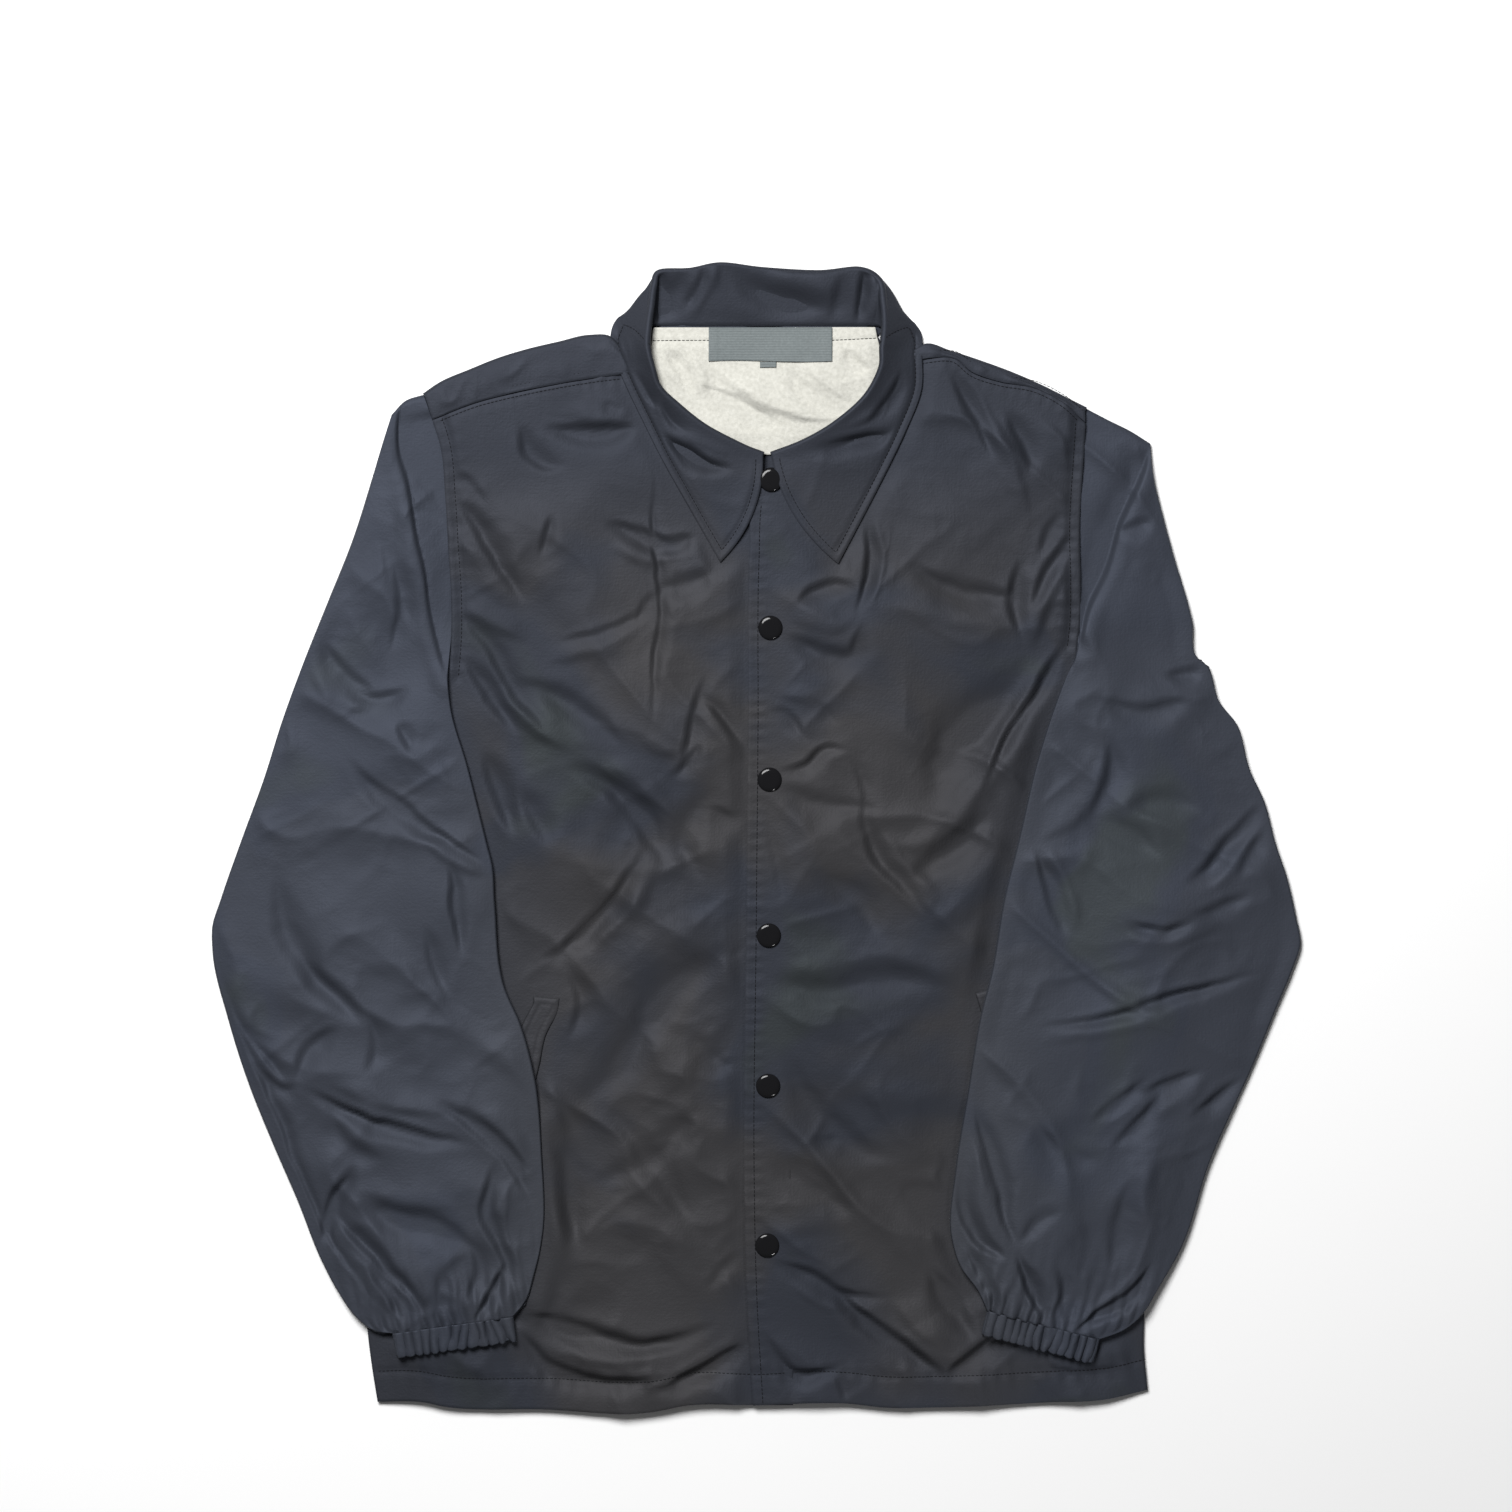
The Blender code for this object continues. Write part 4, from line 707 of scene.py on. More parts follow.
def height_at(heights, plan):
    """Height map read between its squares."""
    p = np.clip((plan + HALF_FLOOR) / RASTER, 0, len(heights) - 2)
    cell = np.floor(p).astype(int)
    f = p - cell
    i, j = cell[..., 0], cell[..., 1]
    low = heights[i, j] * (1 - f[..., 0]) + heights[i + 1, j] * f[..., 0]
    high = heights[i, j + 1] * (1 - f[..., 0]) + heights[i + 1, j + 1] * f[..., 0]
    return low * (1 - f[..., 1]) + high * f[..., 1]


def part_of(line, first, last):
    """The part of a line between two shares of its points."""
    return line[int(first * len(line)) : int(last * len(line))]


def with_height(plan, z):
    """Plan points with their height as the third coordinate."""
    return np.dstack([plan, np.broadcast_to(z, plan.shape[:2])])


# Materials


def linear(hex_colour):
    """Linear colour from an sRGB hex value."""
    s = np.array([int(hex_colour[k : k + 2], 16) / 255 for k in (1, 3, 5)])
    return (*np.where(s <= 0.04045, s / 12.92, ((s + 0.055) / 1.055) ** 2.4), 1.0)


def add_node(tree, kind, settings=None, **links):
    """A node with its settings, whose inputs are linked to sockets or set to values. An input
    is given by its name, or by its number as i0, i1 and so on."""
    node = tree.nodes.new(kind)
    for key, value in (settings or {}).items():
        setattr(node, key, value)
    for key, value in links.items():
        by_number = key[0] == "i" and key[1:].isdigit()
        socket = node.inputs[int(key[1:]) if by_number else key.replace("_", " ")]
        if isinstance(value, bpy.types.NodeSocket):
            tree.links.new(value, socket)
        else:
            socket.default_value = value
    return node


def every(size):
    """Texture scale whose bumps are about size mm across."""
    return 1 / (size * MM)


def start_material(name):
    """A new material, its node tree, its shader and the socket of its Object coordinates."""
    material = bpy.data.materials.new(name)
    material.use_nodes = True
    tree = material.node_tree
    shader = tree.nodes["Principled BSDF"]
    place = add_node(tree, "ShaderNodeTexCoord")
    return material, tree, shader, place.outputs["Object"]


def plain_weave_nylon(name, base, cool, warm, green, cool_from):
    """Plain-weave nylon taffeta, calendered: dark with a half-dull sheen, whose tint drifts
    between cool, warm and a little green, as it does where warp and weft differ. Over
    cool_from metres up the jacket, and towards its sides, it is cool."""
    material, tree, shader, where = start_material(name)
    wide = add_node(
        tree, "ShaderNodeTexNoise", Vector=where, Scale=every(153.8), Detail=3.0, Distortion=0.4
    )
    patch = add_node(tree, "ShaderNodeTexNoise", Vector=where, Scale=every(38.46), Detail=4.0)
    # Where the cloth is pressed flatter it looks a fifth lighter
    pressed = [1.207 * c for c in base[:3]] + [1.0]
    ground = add_node(
        tree, "ShaderNodeMix", {"data_type": "RGBA"}, i0=patch.outputs["Fac"], i6=tuple(base),
        i7=pressed,
    )
    across = add_node(tree, "ShaderNodeSeparateXYZ", Vector=where)
    high = add_node(
        tree, "ShaderNodeMapRange", Value=across.outputs["Y"], From_Min=cool_from,
        From_Max=cool_from + 0.12, To_Max=1.0,
    )
    share = add_node(
        tree, "ShaderNodeMapRange", Value=wide.outputs["Fac"], From_Min=0.44, From_Max=0.56,
        To_Max=1.0,
    )
    upper = add_node(
        tree, "ShaderNodeMath", {"operation": "MAXIMUM"}, i0=high.outputs["Result"],
        i1=share.outputs["Result"],
    )
    aside = add_node(tree, "ShaderNodeMath", {"operation": "ABSOLUTE"}, i0=across.outputs["X"])
    outer = add_node(
        tree, "ShaderNodeMapRange", Value=aside.outputs[0], From_Min=0.11, From_Max=0.20,
        To_Max=0.8,
    )
    either = add_node(
        tree, "ShaderNodeMath", {"operation": "MAXIMUM"}, i0=upper.outputs[0],
        i1=outer.outputs["Result"],
    )
    sheen = add_node(
        tree, "ShaderNodeMix", {"data_type": "RGBA"}, i0=either.outputs[0], i6=linear(warm),
        i7=linear(cool),
    )
    spots = add_node(
        tree, "ShaderNodeMapRange", Value=wide.outputs["Fac"], From_Min=0.60, From_Max=0.66,
        To_Max=0.7,
    )
    greened = add_node(
        tree, "ShaderNodeMix", {"data_type": "RGBA"}, i0=spots.outputs["Result"],
        i6=sheen.outputs[2], i7=linear(green),
    )
    tree.links.new(greened.outputs[2], shader.inputs["Specular Tint"])
    dyed = add_node(
        tree, "ShaderNodeMix", {"data_type": "RGBA", "blend_type": "MULTIPLY"}, i0=1.0,
        i6=ground.outputs[2], i7=greened.outputs[2],
    )
    tree.links.new(dyed.outputs[2], shader.inputs["Base Color"])
    rough = add_node(
        tree, "ShaderNodeMapRange", Value=patch.outputs["Fac"], From_Min=0.3, From_Max=0.7,
        To_Min=0.58, To_Max=0.66,
    )
    tree.links.new(rough.outputs["Result"], shader.inputs["Roughness"])
    crush = add_node(
        tree, "ShaderNodeTexNoise", Vector=where, Scale=every(6.667), Detail=3.0, Distortion=0.6
    )
    # Taffeta has a yarn every 0.2 mm, too fine to show, so the uneven yarns that do show are
    # drawn 1.1 mm apart and 25 mm long, and the grain between them 1.6 mm across
    yarns = []
    thick, long = every(1.111), every(25)
    for stretch in ((long, thick, long), (thick, long, long)):
        turned = add_node(
            tree, "ShaderNodeMapping", {"vector_type": "POINT"}, Vector=where, Scale=stretch
        )
        yarns.append(
            add_node(tree, "ShaderNodeTexNoise", Vector=turned.outputs["Vector"], Scale=1.0)
        )
    weave = add_node(
        tree, "ShaderNodeMath", {"operation": "ADD"}, i0=yarns[0].outputs["Fac"],
        i1=yarns[1].outputs["Fac"],
    )
    grain = add_node(tree, "ShaderNodeTexNoise", Vector=where, Scale=every(1.613), Detail=2.0)
    coarse = add_node(
        tree, "ShaderNodeBump", Strength=0.30, Distance=0.0006, Height=crush.outputs["Fac"]
    )
    woven = add_node(
        tree, "ShaderNodeBump", Strength=0.35, Distance=0.00014, Height=weave.outputs[0],
        Normal=coarse.outputs["Normal"],
    )
    fine = add_node(
        tree, "ShaderNodeBump", Strength=0.5, Distance=0.00032, Height=grain.outputs["Fac"],
        Normal=woven.outputs["Normal"],
    )
    tree.links.new(fine.outputs["Normal"], shader.inputs["Normal"])
    shader.inputs["Specular IOR Level"].default_value = 0.32
    return material


def brushed_flannel(light):
    """Brushed cotton flannel: matt, with a nap over a crepe-like weave, and painted shade in the nap's
    hollows: the colour turns darker where the nap's bump is low."""
    material, tree, shader, where = start_material("brushed_cream_flannel")
    # The nap's tufts are 2.4 mm across; the crepe of 0.4 mm is drawn at 1.1 mm, to show at all
    nap = add_node(tree, "ShaderNodeTexNoise", Vector=where, Scale=every(2.381), Detail=5.0)
    crepe = add_node(
        tree, "ShaderNodeTexNoise", Vector=where, Scale=every(1.111), Detail=2.0, Distortion=1.5
    )
    # Painted shade: where the nap's bump is low, the colour falls to the darker #a9a89f
    colour = add_node(
        tree, "ShaderNodeMix", {"data_type": "RGBA"}, i0=nap.outputs["Fac"],
        i6=linear("#a9a89f"), i7=tuple(light),
    )
    tree.links.new(colour.outputs[2], shader.inputs["Base Color"])
    coarse = add_node(tree, "ShaderNodeBump", Strength=0.5, Distance=0.0006, Height=nap.outputs["Fac"])
    fine = add_node(
        tree, "ShaderNodeBump", Strength=0.5, Distance=0.0004, Height=crepe.outputs["Fac"],
        Normal=coarse.outputs["Normal"],
    )
    tree.links.new(fine.outputs["Normal"], shader.inputs["Normal"])
    shader.inputs["Roughness"].default_value = 0.95
    shader.inputs["Sheen Weight"].default_value = 0.4
    return material


def woven_tape():
    """Woven polyester label tape in grey: fine ribs across, half matt."""
    material, tree, shader, where = start_material("woven_label_tape")
    # Ribs of 0.3 mm are too fine to show, so they are drawn 1.65 mm apart. A wave texture of
    # scale 1 has 20 / tau bands to the metre.
    ribs = add_node(
        tree, "ShaderNodeTexWave", {"bands_direction": "Y"}, Vector=where,
        Scale=every(1.653) * math.tau / 20, Distortion=0.6, Detail=1.0,
    )
    thread = add_node(tree, "ShaderNodeTexNoise", Vector=where, Scale=every(1.429), Detail=3.0)
    colour = add_node(
        tree, "ShaderNodeMix", {"data_type": "RGBA"}, i0=thread.outputs["Fac"],
        i6=linear("#565d5e"), i7=linear("#727a7b"),
    )
    tree.links.new(colour.outputs[2], shader.inputs["Base Color"])
    bump = add_node(tree, "ShaderNodeBump", Strength=0.4, Distance=0.0003, Height=ribs.outputs["Fac"])
    tree.links.new(bump.outputs["Normal"], shader.inputs["Normal"])
    shader.inputs["Roughness"].default_value = 0.7
    return material


def black_enamel(colour):
    """Stove-enamelled brass snap cap: deep gloss with a faint orange peel."""
    material, tree, shader, where = start_material("black_enamelled_brass")
    peel = add_node(tree, "ShaderNodeTexNoise", Vector=where, Scale=every(3.846), Detail=2.0)
    bump = add_node(tree, "ShaderNodeBump", Strength=0.03, Distance=0.0002, Height=peel.outputs["Fac"])
    tree.links.new(bump.outputs["Normal"], shader.inputs["Normal"])
    shader.inputs["Base Color"].default_value = tuple(colour)
    shader.inputs["Roughness"].default_value = 0.10
    shader.inputs["Specular IOR Level"].default_value = 0.2
    return material


def painted_shade_thread():
    """Sewing thread with a ply of 0.67 mm, matt and near black: the black is painted shade, standing in
    for the shadows of the needle holes and grooves along a seam, and is darker than the real thread.
    """
    material, tree, shader, where = start_material("thread_painted_stitch_shade")
    ply = add_node(tree, "ShaderNodeTexNoise", Vector=where, Scale=every(0.6667), Detail=2.0)
    # Near black: painted shade of the needle holes and the stitch grooves, not the thread's own colour
    colour = add_node(
        tree, "ShaderNodeMix", {"data_type": "RGBA"}, i0=ply.outputs["Fac"],
        i6=linear("#0d0d10"), i7=linear("#1a1a1e"),
    )
    tree.links.new(colour.outputs[2], shader.inputs["Base Color"])
    shader.inputs["Roughness"].default_value = 0.8
    shader.inputs["Specular IOR Level"].default_value = 0.15
    return material


def seamless_paper():
    """White studio paper, matt, with a barely visible tooth, drawn coarser than the real one's
    0.3 mm."""
    material, tree, shader, where = start_material("white_studio_paper")
    tooth = add_node(tree, "ShaderNodeTexNoise", Vector=where, Scale=every(3.333), Detail=3.0)
    bump = add_node(tree, "ShaderNodeBump", Strength=0.05, Distance=0.0003, Height=tooth.outputs["Fac"])
    tree.links.new(bump.outputs["Normal"], shader.inputs["Normal"])
    shader.inputs["Base Color"].default_value = linear("#f6f6f6")
    shader.inputs["Roughness"].default_value = 0.9
    return material


FINISHES = {}
"""The materials made so far, by the names that finish knows."""


def finish(name):
    """The material of that name, made once."""
    settings = bpy.context.scene.jacket
    makers = {
        "body": lambda: plain_weave_nylon(
            "body_nylon_taffeta", settings.body_colour, "#cbd4ec", "#e3e2e9", "#cfdde0", 0.13
        ),
        "sleeve": lambda: plain_weave_nylon(
            "sleeve_nylon_taffeta", settings.sleeve_colour, "#c8d3ee", "#d6dcec", "#cedce2", 0.02
        ),
        "flannel": lambda: brushed_flannel(settings.lining_colour),
        "label": woven_tape,
        "snap": lambda: black_enamel(settings.snap_colour),
        "thread": painted_shade_thread,
        "paper": seamless_paper,
    }
    if name not in FINISHES:
        FINISHES[name] = makers[name]()
    return FINISHES[name]


# Meshes


def mesh_object(name, points, faces, finish_name):
    """A smooth mesh at the origin, from an array of points in mm and a list of faces."""
    mesh = bpy.data.meshes.new(name)
    mesh.from_pydata((points * MM).tolist(), [], faces)
    mesh.materials.append(finish(finish_name))
    mesh.shade_smooth()
    made = bpy.data.objects.new(name, mesh)
    bpy.context.scene.collection.objects.link(made)
    return made


def grid_faces(rows, columns, start=0):
    """Quads of a grid whose points are listed row by row."""
    k = start + np.arange(rows * columns).reshape(rows, columns)
    return np.stack([k[:-1, :-1], k[:-1, 1:], k[1:, 1:], k[1:, :-1]], axis=-1).reshape(-1, 4)


def cloth_shell(name, grids, finish_name, wall=WALL, closed=False):
    """A cloth shell whose upper side is the given grids, welded where they share points. Normals
    are weighted by area, so that the narrow rim doesn't bend those of the cloth's face."""
    points, faces, start = [], [], 0
    for grid in grids:
        rows, columns = grid.shape[:2]
        points.append(grid.reshape(-1, 3))
        faces.append(grid_faces(rows, columns, start))
        start += rows * columns
    made = mesh_object(name, np.vstack(points), np.vstack(faces).tolist(), finish_name)
    if len(grids) > 1 or closed:
        weld = made.modifiers.new("Weld", "WELD")
        weld.merge_threshold = 0.02 * MM
    solid = made.modifiers.new("Wall", "SOLIDIFY")
    solid.thickness = wall * MM
    solid.offset = -1.0
    made.modifiers.new("Normals", "WEIGHTED_NORMAL")
    return made


def hand_over(made, nodes):
    """Makes a piece ride on the jacket and replace its solids."""
    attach(made, "root")
    if nodes:
        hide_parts(*nodes)


# Height of each panel, as a function of plan points


def neck_rise(plan):
    """Lift of the back where the collar's fall lies under it: a smooth step up the jacket, and
    one down on each side of the neck."""
    x, y = plan[..., 0], plan[..., 1]
    left, right, low = -118, 130, 252
    lift = NECK_RISE * smooth((y - low) / 36)
    return lift * smooth((x - left) / 24) * smooth((right - x) / 24)


class Solids:
    """Height maps of the solids, each read once."""

    maps = {}
    places = {}

    @classmethod
    def read(cls, node):
        """Makes a solid's height map, the first time that it is asked for."""
        if node not in cls.maps:
            cls.maps[node], cls.places[node] = solid_top(node)

    @classmethod
    def top(cls, node, plan):
        """Height of a solid's upper side at plan points."""
        cls.read(node)
        return height_at(cls.maps[node], plan)

    @classmethod
    def broad_top(cls, nodes, plan):
        """Height of the highest of some solids, with their steps rounded off."""
        key = " ".join(nodes)
        if key not in cls.maps:
            for node in nodes:
                cls.read(node)
            wide = [box_filter(cls.places[node].astype(float), 1) > 0 for node in nodes]
            heights = [cls.maps[node] * place for node, place in zip(nodes, wide)]
            spread = np.max(heights, axis=0)
            for axis in (0, 1):
                spread = np.max([np.roll(spread, k, axis) for k in (-1, 0, 1)], axis=0)
            cls.maps[key] = box_filter(box_filter(spread, 2), 2)
        return height_at(cls.maps[key], plan)

    @classmethod
    def cover(cls, node, plan):
        """1 where a solid lies over the plan point, falling to 0 at 10 mm away from it."""
        key = node + " cover"
        if key not in cls.maps:
            cls.read(node)
            wide = box_filter(cls.places[node].astype(float), 3) > 0
            cls.maps[key] = box_filter(wide.astype(float), 2)
        return height_at(cls.maps[key], plan)


def nylon_texture(plan, seed):
    """The nylon's own unevenness: wide swells and long soft wrinkles, and in patches smaller
    ones."""
    patches = smooth(0.5 + 1.4 * noise(plan, 44, seed + 40))
    return (
        1.6 * noise(plan, 66, seed)
        + 1.15 * crumple(plan, 54, seed + 10, lean=-38, stretch=2.2)
        + 0.48 * crumple(plan, 27, seed + 20, lean=35, stretch=2.0) * patches
        + 0.13 * crumple(plan, 12, seed + 30, lean=-20, stretch=1.8) * patches
    )


def soft_floor(z, floor):
    """z where it lies well over floor, and a rounded stop on floor elsewhere."""
    return 0.5 * (z + floor + np.sqrt((z - floor) ** 2 + 0.4))


def offset_line(line, distance):
    """A line moved to its left by distance."""
    tangent = np.gradient(line, axis=0)
    tangent /= np.linalg.norm(tangent, axis=1, keepdims=True)
    return line + distance * np.column_stack([-tangent[:, 1], tangent[:, 0]])


def front_seams():
    """Stitch lines of the two fronts, as plan lines."""
    return {
        "hem_right": along(photo(LEFT_HEM) + (0, HEM_STITCH), 60),
        "hem_left": along(photo(RIGHT_HEM) + (0, HEM_STITCH), 60),
        "edge": offset_line(along(photo(FRONT_EDGE), 90), EDGE_STITCH),
        "armhole_right": offset_line(along(photo(LEFT_ARMHOLE[1:]), 50), TOPSTITCH),
        "armhole_left": offset_line(along(photo(RIGHT_ARMHOLE[1:]), 50), -TOPSTITCH),
        "shoulder_right": offset_line(
            along(photo(LEFT_SHOULDER_SEAM), 50), SHOULDER_STITCHES[0]
        ),
        "shoulder_left": offset_line(
            along(photo(RIGHT_SHOULDER_SEAM), 50), SHOULDER_STITCHES[0]
        ),
    }


def hollow_beside(plan, inner, centre):
    """The front's hollow beside a sleeve's lower fold. Its deepest line lies at centre from the
    fold, and where that isn't 0 the front swells up at the fold itself."""
    gap, run, _ = near(plan, along(photo(inner), 30))
    t = run / length_of(photo(inner))
    shown = smooth(t / 0.25) * smooth((1.02 - t) / 0.12)
    off = (gap - centre) / np.where(gap < centre, 9.0, 45.0)
    swell = 3.4 * np.exp(-((gap / 13) ** 4)) if centre else 0.0
    return shown * (swell - (3.0 + 1.0 * noise(plan, 30, 905)) * np.exp(-(off**2)))


def left_front_height(plan):
    """The front on the left of the picture: its solid, its creases and its seams' puckers."""
    seams = front_seams()
    z = Solids.top("front_right", plan)
    side = near(plan, along(photo(LEFT_SIDE), 40))[0]
    lapped = Solids.cover("front_left", plan)
    bare = smooth(side / 30) * (1 - Solids.cover("collar", plan)) * (1 - 0.9 * lapped)
    calm = bare * (1 - Solids.cover("sleeve_right_under", plan))
    z = z + calm * (1.7 + creases(plan, LEFT_FRONT_CREASES) + nylon_texture(plan, 11))
    z = z + bare * hollow_beside(plan, LEFT_INNER[8:], 22)
    z = np.where(side > 25, soft_floor(z, FRONT_FLOOR), z)
    z = z + (1 - lapped) * pucker(plan, seams["hem_right"], 11.0, 9.0, 0.4, 3)
    z = z + pucker(plan, seams["armhole_right"], 9.0, 7.0, 0.35, 5)
    z = z + pucker(plan, seams["shoulder_right"], 8.5, 6.0, 0.4, 15, groove=0.3)
    edge = near(plan, along(photo(LEFT_ARMHOLE[1:]), 50))[0]
    return z + 0.5 * smooth(1 - edge / 7.5)


def right_front_height(plan):
    """The front on the right of the picture, which laps over the other."""
    seams = front_seams()
    z = Solids.top("front_left", plan)
    side = near(plan, along(photo(RIGHT_SIDE), 40))[0]
    lap = near(plan, along(photo(FRONT_EDGE), 60))[0]
    bare = smooth(side / 30) * (1 - Solids.cover("collar", plan))
    bare = bare * (0.3 + 0.7 * smooth((lap - 12) / 26))
    calm = bare * (1 - Solids.cover("sleeve_left_under", plan))
    z = z + calm * (1.7 + creases(plan, RIGHT_FRONT_CREASES) + nylon_texture(plan, 61))
    z = z + bare * hollow_beside(plan, RIGHT_INNER[7:], 0)
    z = np.where(side > 25, soft_floor(z, FRONT_FLOOR), z)
    z = z + pucker(plan, seams["hem_left"], 11.0, 9.0, 0.4, 7)
    z = z + pucker(plan, seams["edge"], 8.0, 5.0, 0.4, 9, groove=0.15)
    z = z + pucker(plan, seams["armhole_left"], 8.0, 8.0, 0.45, 13)
    z = z + pucker(plan, seams["shoulder_left"], 8.5, 6.0, 0.3, 17, groove=0.3)
    arm = near(plan, along(photo(RIGHT_ARMHOLE[1:]), 50))[0]
    return z + 0.6 * smooth(1 - arm / 7.5)


def pleat_drop(plan, pleat):
    """How far both panels of a sleeve sink beside its shoulder pleat."""
    gap, run, _ = near(plan, along(photo(pleat), 60))
    t = run / length_of(photo(pleat))
    return 4.2 * smooth(t / 0.15) * smooth((1 - t) / 0.2) * np.exp(-((gap / 24) ** 4))


def cuff_line(sleeve):
    """The two ends of the line where a sleeve meets its cuff, from left to right."""
    return photo([sleeve.outer[-1], sleeve.inner[-1]][:: -sleeve.side])


def sleeve_under_height(plan, node, sleeve):
    """A sleeve's under panel: its solid, sunk beside the pleat."""
    z = Solids.top(node, plan) - pleat_drop(plan, sleeve.pleat)
    return np.maximum(z - 0.1, WALL + 0.1)


def sleeve_top_height(plan, nodes, sleeve):
    """A sleeve's top panel: its solid, drawn down to the under panel along the folded edges,
    with its creases, its shoulder pleat and, by the cuff, the pleats that the cuff gathers."""
    top = Solids.top(nodes["top"], plan)
    under = Solids.top(nodes["under"], plan) - pleat_drop(plan, sleeve.pleat)
    low = np.maximum(under, WALL + 0.2) + WALL + 0.35
    outline = np.vstack(
        [along(photo(sleeve.cap), 30)[:: sleeve.side], along(photo(sleeve.outer), 120)]
    )
    edge = np.minimum(near(plan, outline)[0], near(plan, along(photo(sleeve.inner), 60))[0])
    z = np.minimum(top, low + 11.0 * round_off(edge, 20.0))
    calm = smooth(edge / 14)
    z = z + calm * (creases(plan, sleeve.creases) + 1.25 * nylon_texture(plan, sleeve.seed))
    # The pleat: a groove, with a ridge outside it and a hollow inside it
    gap, run, right = near(plan, along(photo(sleeve.pleat), 60))
    t = run / length_of(photo(sleeve.pleat))
    shown = smooth(t / 0.12) * smooth((1 - t) / 0.08) * (0.55 + 0.45 * smooth((1 - t) / 0.4))
    if sleeve.side < 0:
        outside = right
        inside = 2.8 + 2.6 * smooth(gap / 22)
    else:
        outside = ~right
        inside = 4.6 * np.exp(-((gap / 12) ** 2))
    z = z - shown * np.where(outside, 4.6 * np.exp(-((gap / 1.6) ** 2)), inside)
    z = z + 1.2 * smooth(t / 0.15) * np.exp(-(((gap - 7) / 6) ** 2)) * outside
    z = -soft_floor(-soft_floor(z, low + 0.2), -SLEEVE_CEILING)
    # The cuff's pleats: uneven waves across the sleeve, which fade with the distance d from it
    a, b = cuff_line(sleeve)
    across = (b - a) / np.linalg.norm(b - a)
    down = np.array([across[1], -across[0]])
    s = (plan - a) @ across / np.linalg.norm(b - a)
    d = -(plan - a) @ down
    ticks = np.stack([s * 80, d], axis=-1)
    wobble = 1.4 * noise(ticks, 12, sleeve.seed + 5)
    size = 1.3 + 0.9 * noise(ticks, 16, sleeve.seed + 6)
    phase = 2 * np.pi * (CUFF_GATHERS / GATHERS_TO_A_PLEAT) * s + wobble
    ripple = 2 * (0.5 + 0.5 * np.cos(phase)) ** 0.6 - 1.2
    return z + size * ripple * np.exp(-np.maximum(d, 0) / 22.0) * smooth(edge / 4)


# Settings and operators


class JacketSettings(bpy.types.PropertyGroup):
    """Sizes and colours that a user would change."""

    stitch: bpy.props.FloatProperty(
        name="Stitch", description="Length of one stitch", default=0.0027, unit="LENGTH",
        min=0.001, max=0.006,
    )
    thread: bpy.props.FloatProperty(
        name="Thread", description="Thickness of the sewing thread", default=0.0005,
        unit="LENGTH", min=0.0002, max=0.002,
    )
    snap_radius: bpy.props.FloatProperty(
        name="Snap radius", description="Radius of a snap's cap", default=0.0079,
        unit="LENGTH", min=0.003, max=0.02,
    )
    body_colour: bpy.props.FloatVectorProperty(
        name="Body colour", description="Colour of the body's nylon", size=4,
        default=linear("#2f2f2f"), subtype="COLOR", min=0.0, max=1.0,
    )
    sleeve_colour: bpy.props.FloatVectorProperty(
        name="Sleeve colour", description="Colour of the sleeves' nylon", size=4,
        default=linear("#3c3c3c"), subtype="COLOR", min=0.0, max=1.0,
    )
    lining_colour: bpy.props.FloatVectorProperty(
        name="Lining colour", description="Colour of the flannel's nap", size=4,
        default=linear("#d9d8d0"), subtype="COLOR", min=0.0, max=1.0,
    )
    snap_colour: bpy.props.FloatVectorProperty(
        name="Snap colour", description="Colour of the snaps' enamel", size=4,
        default=linear("#151517"), subtype="COLOR", min=0.0, max=1.0,
    )


class StageSettings(bpy.types.PropertyGroup):
    """The studio round the jacket."""

    camera_height: bpy.props.FloatProperty(
        name="Camera height", description="Height of the camera over the floor", default=3.0,
        unit="LENGTH", min=0.5, max=10.0,
    )
    key_power: bpy.props.FloatProperty(
        name="Key light", description="Power of the large light", default=87.0, unit="POWER",
        min=0.0, max=500.0,
    )
    glint_power: bpy.props.FloatProperty(
        name="Glint light", description="Power of the small light at the foot", default=5.0,
        unit="POWER", min=0.0, max=500.0,
    )
    even_light: bpy.props.FloatProperty(
        name="Even light", description="Strength of the white light from all sides",
        default=0.12, min=0.0, max=2.0,
    )


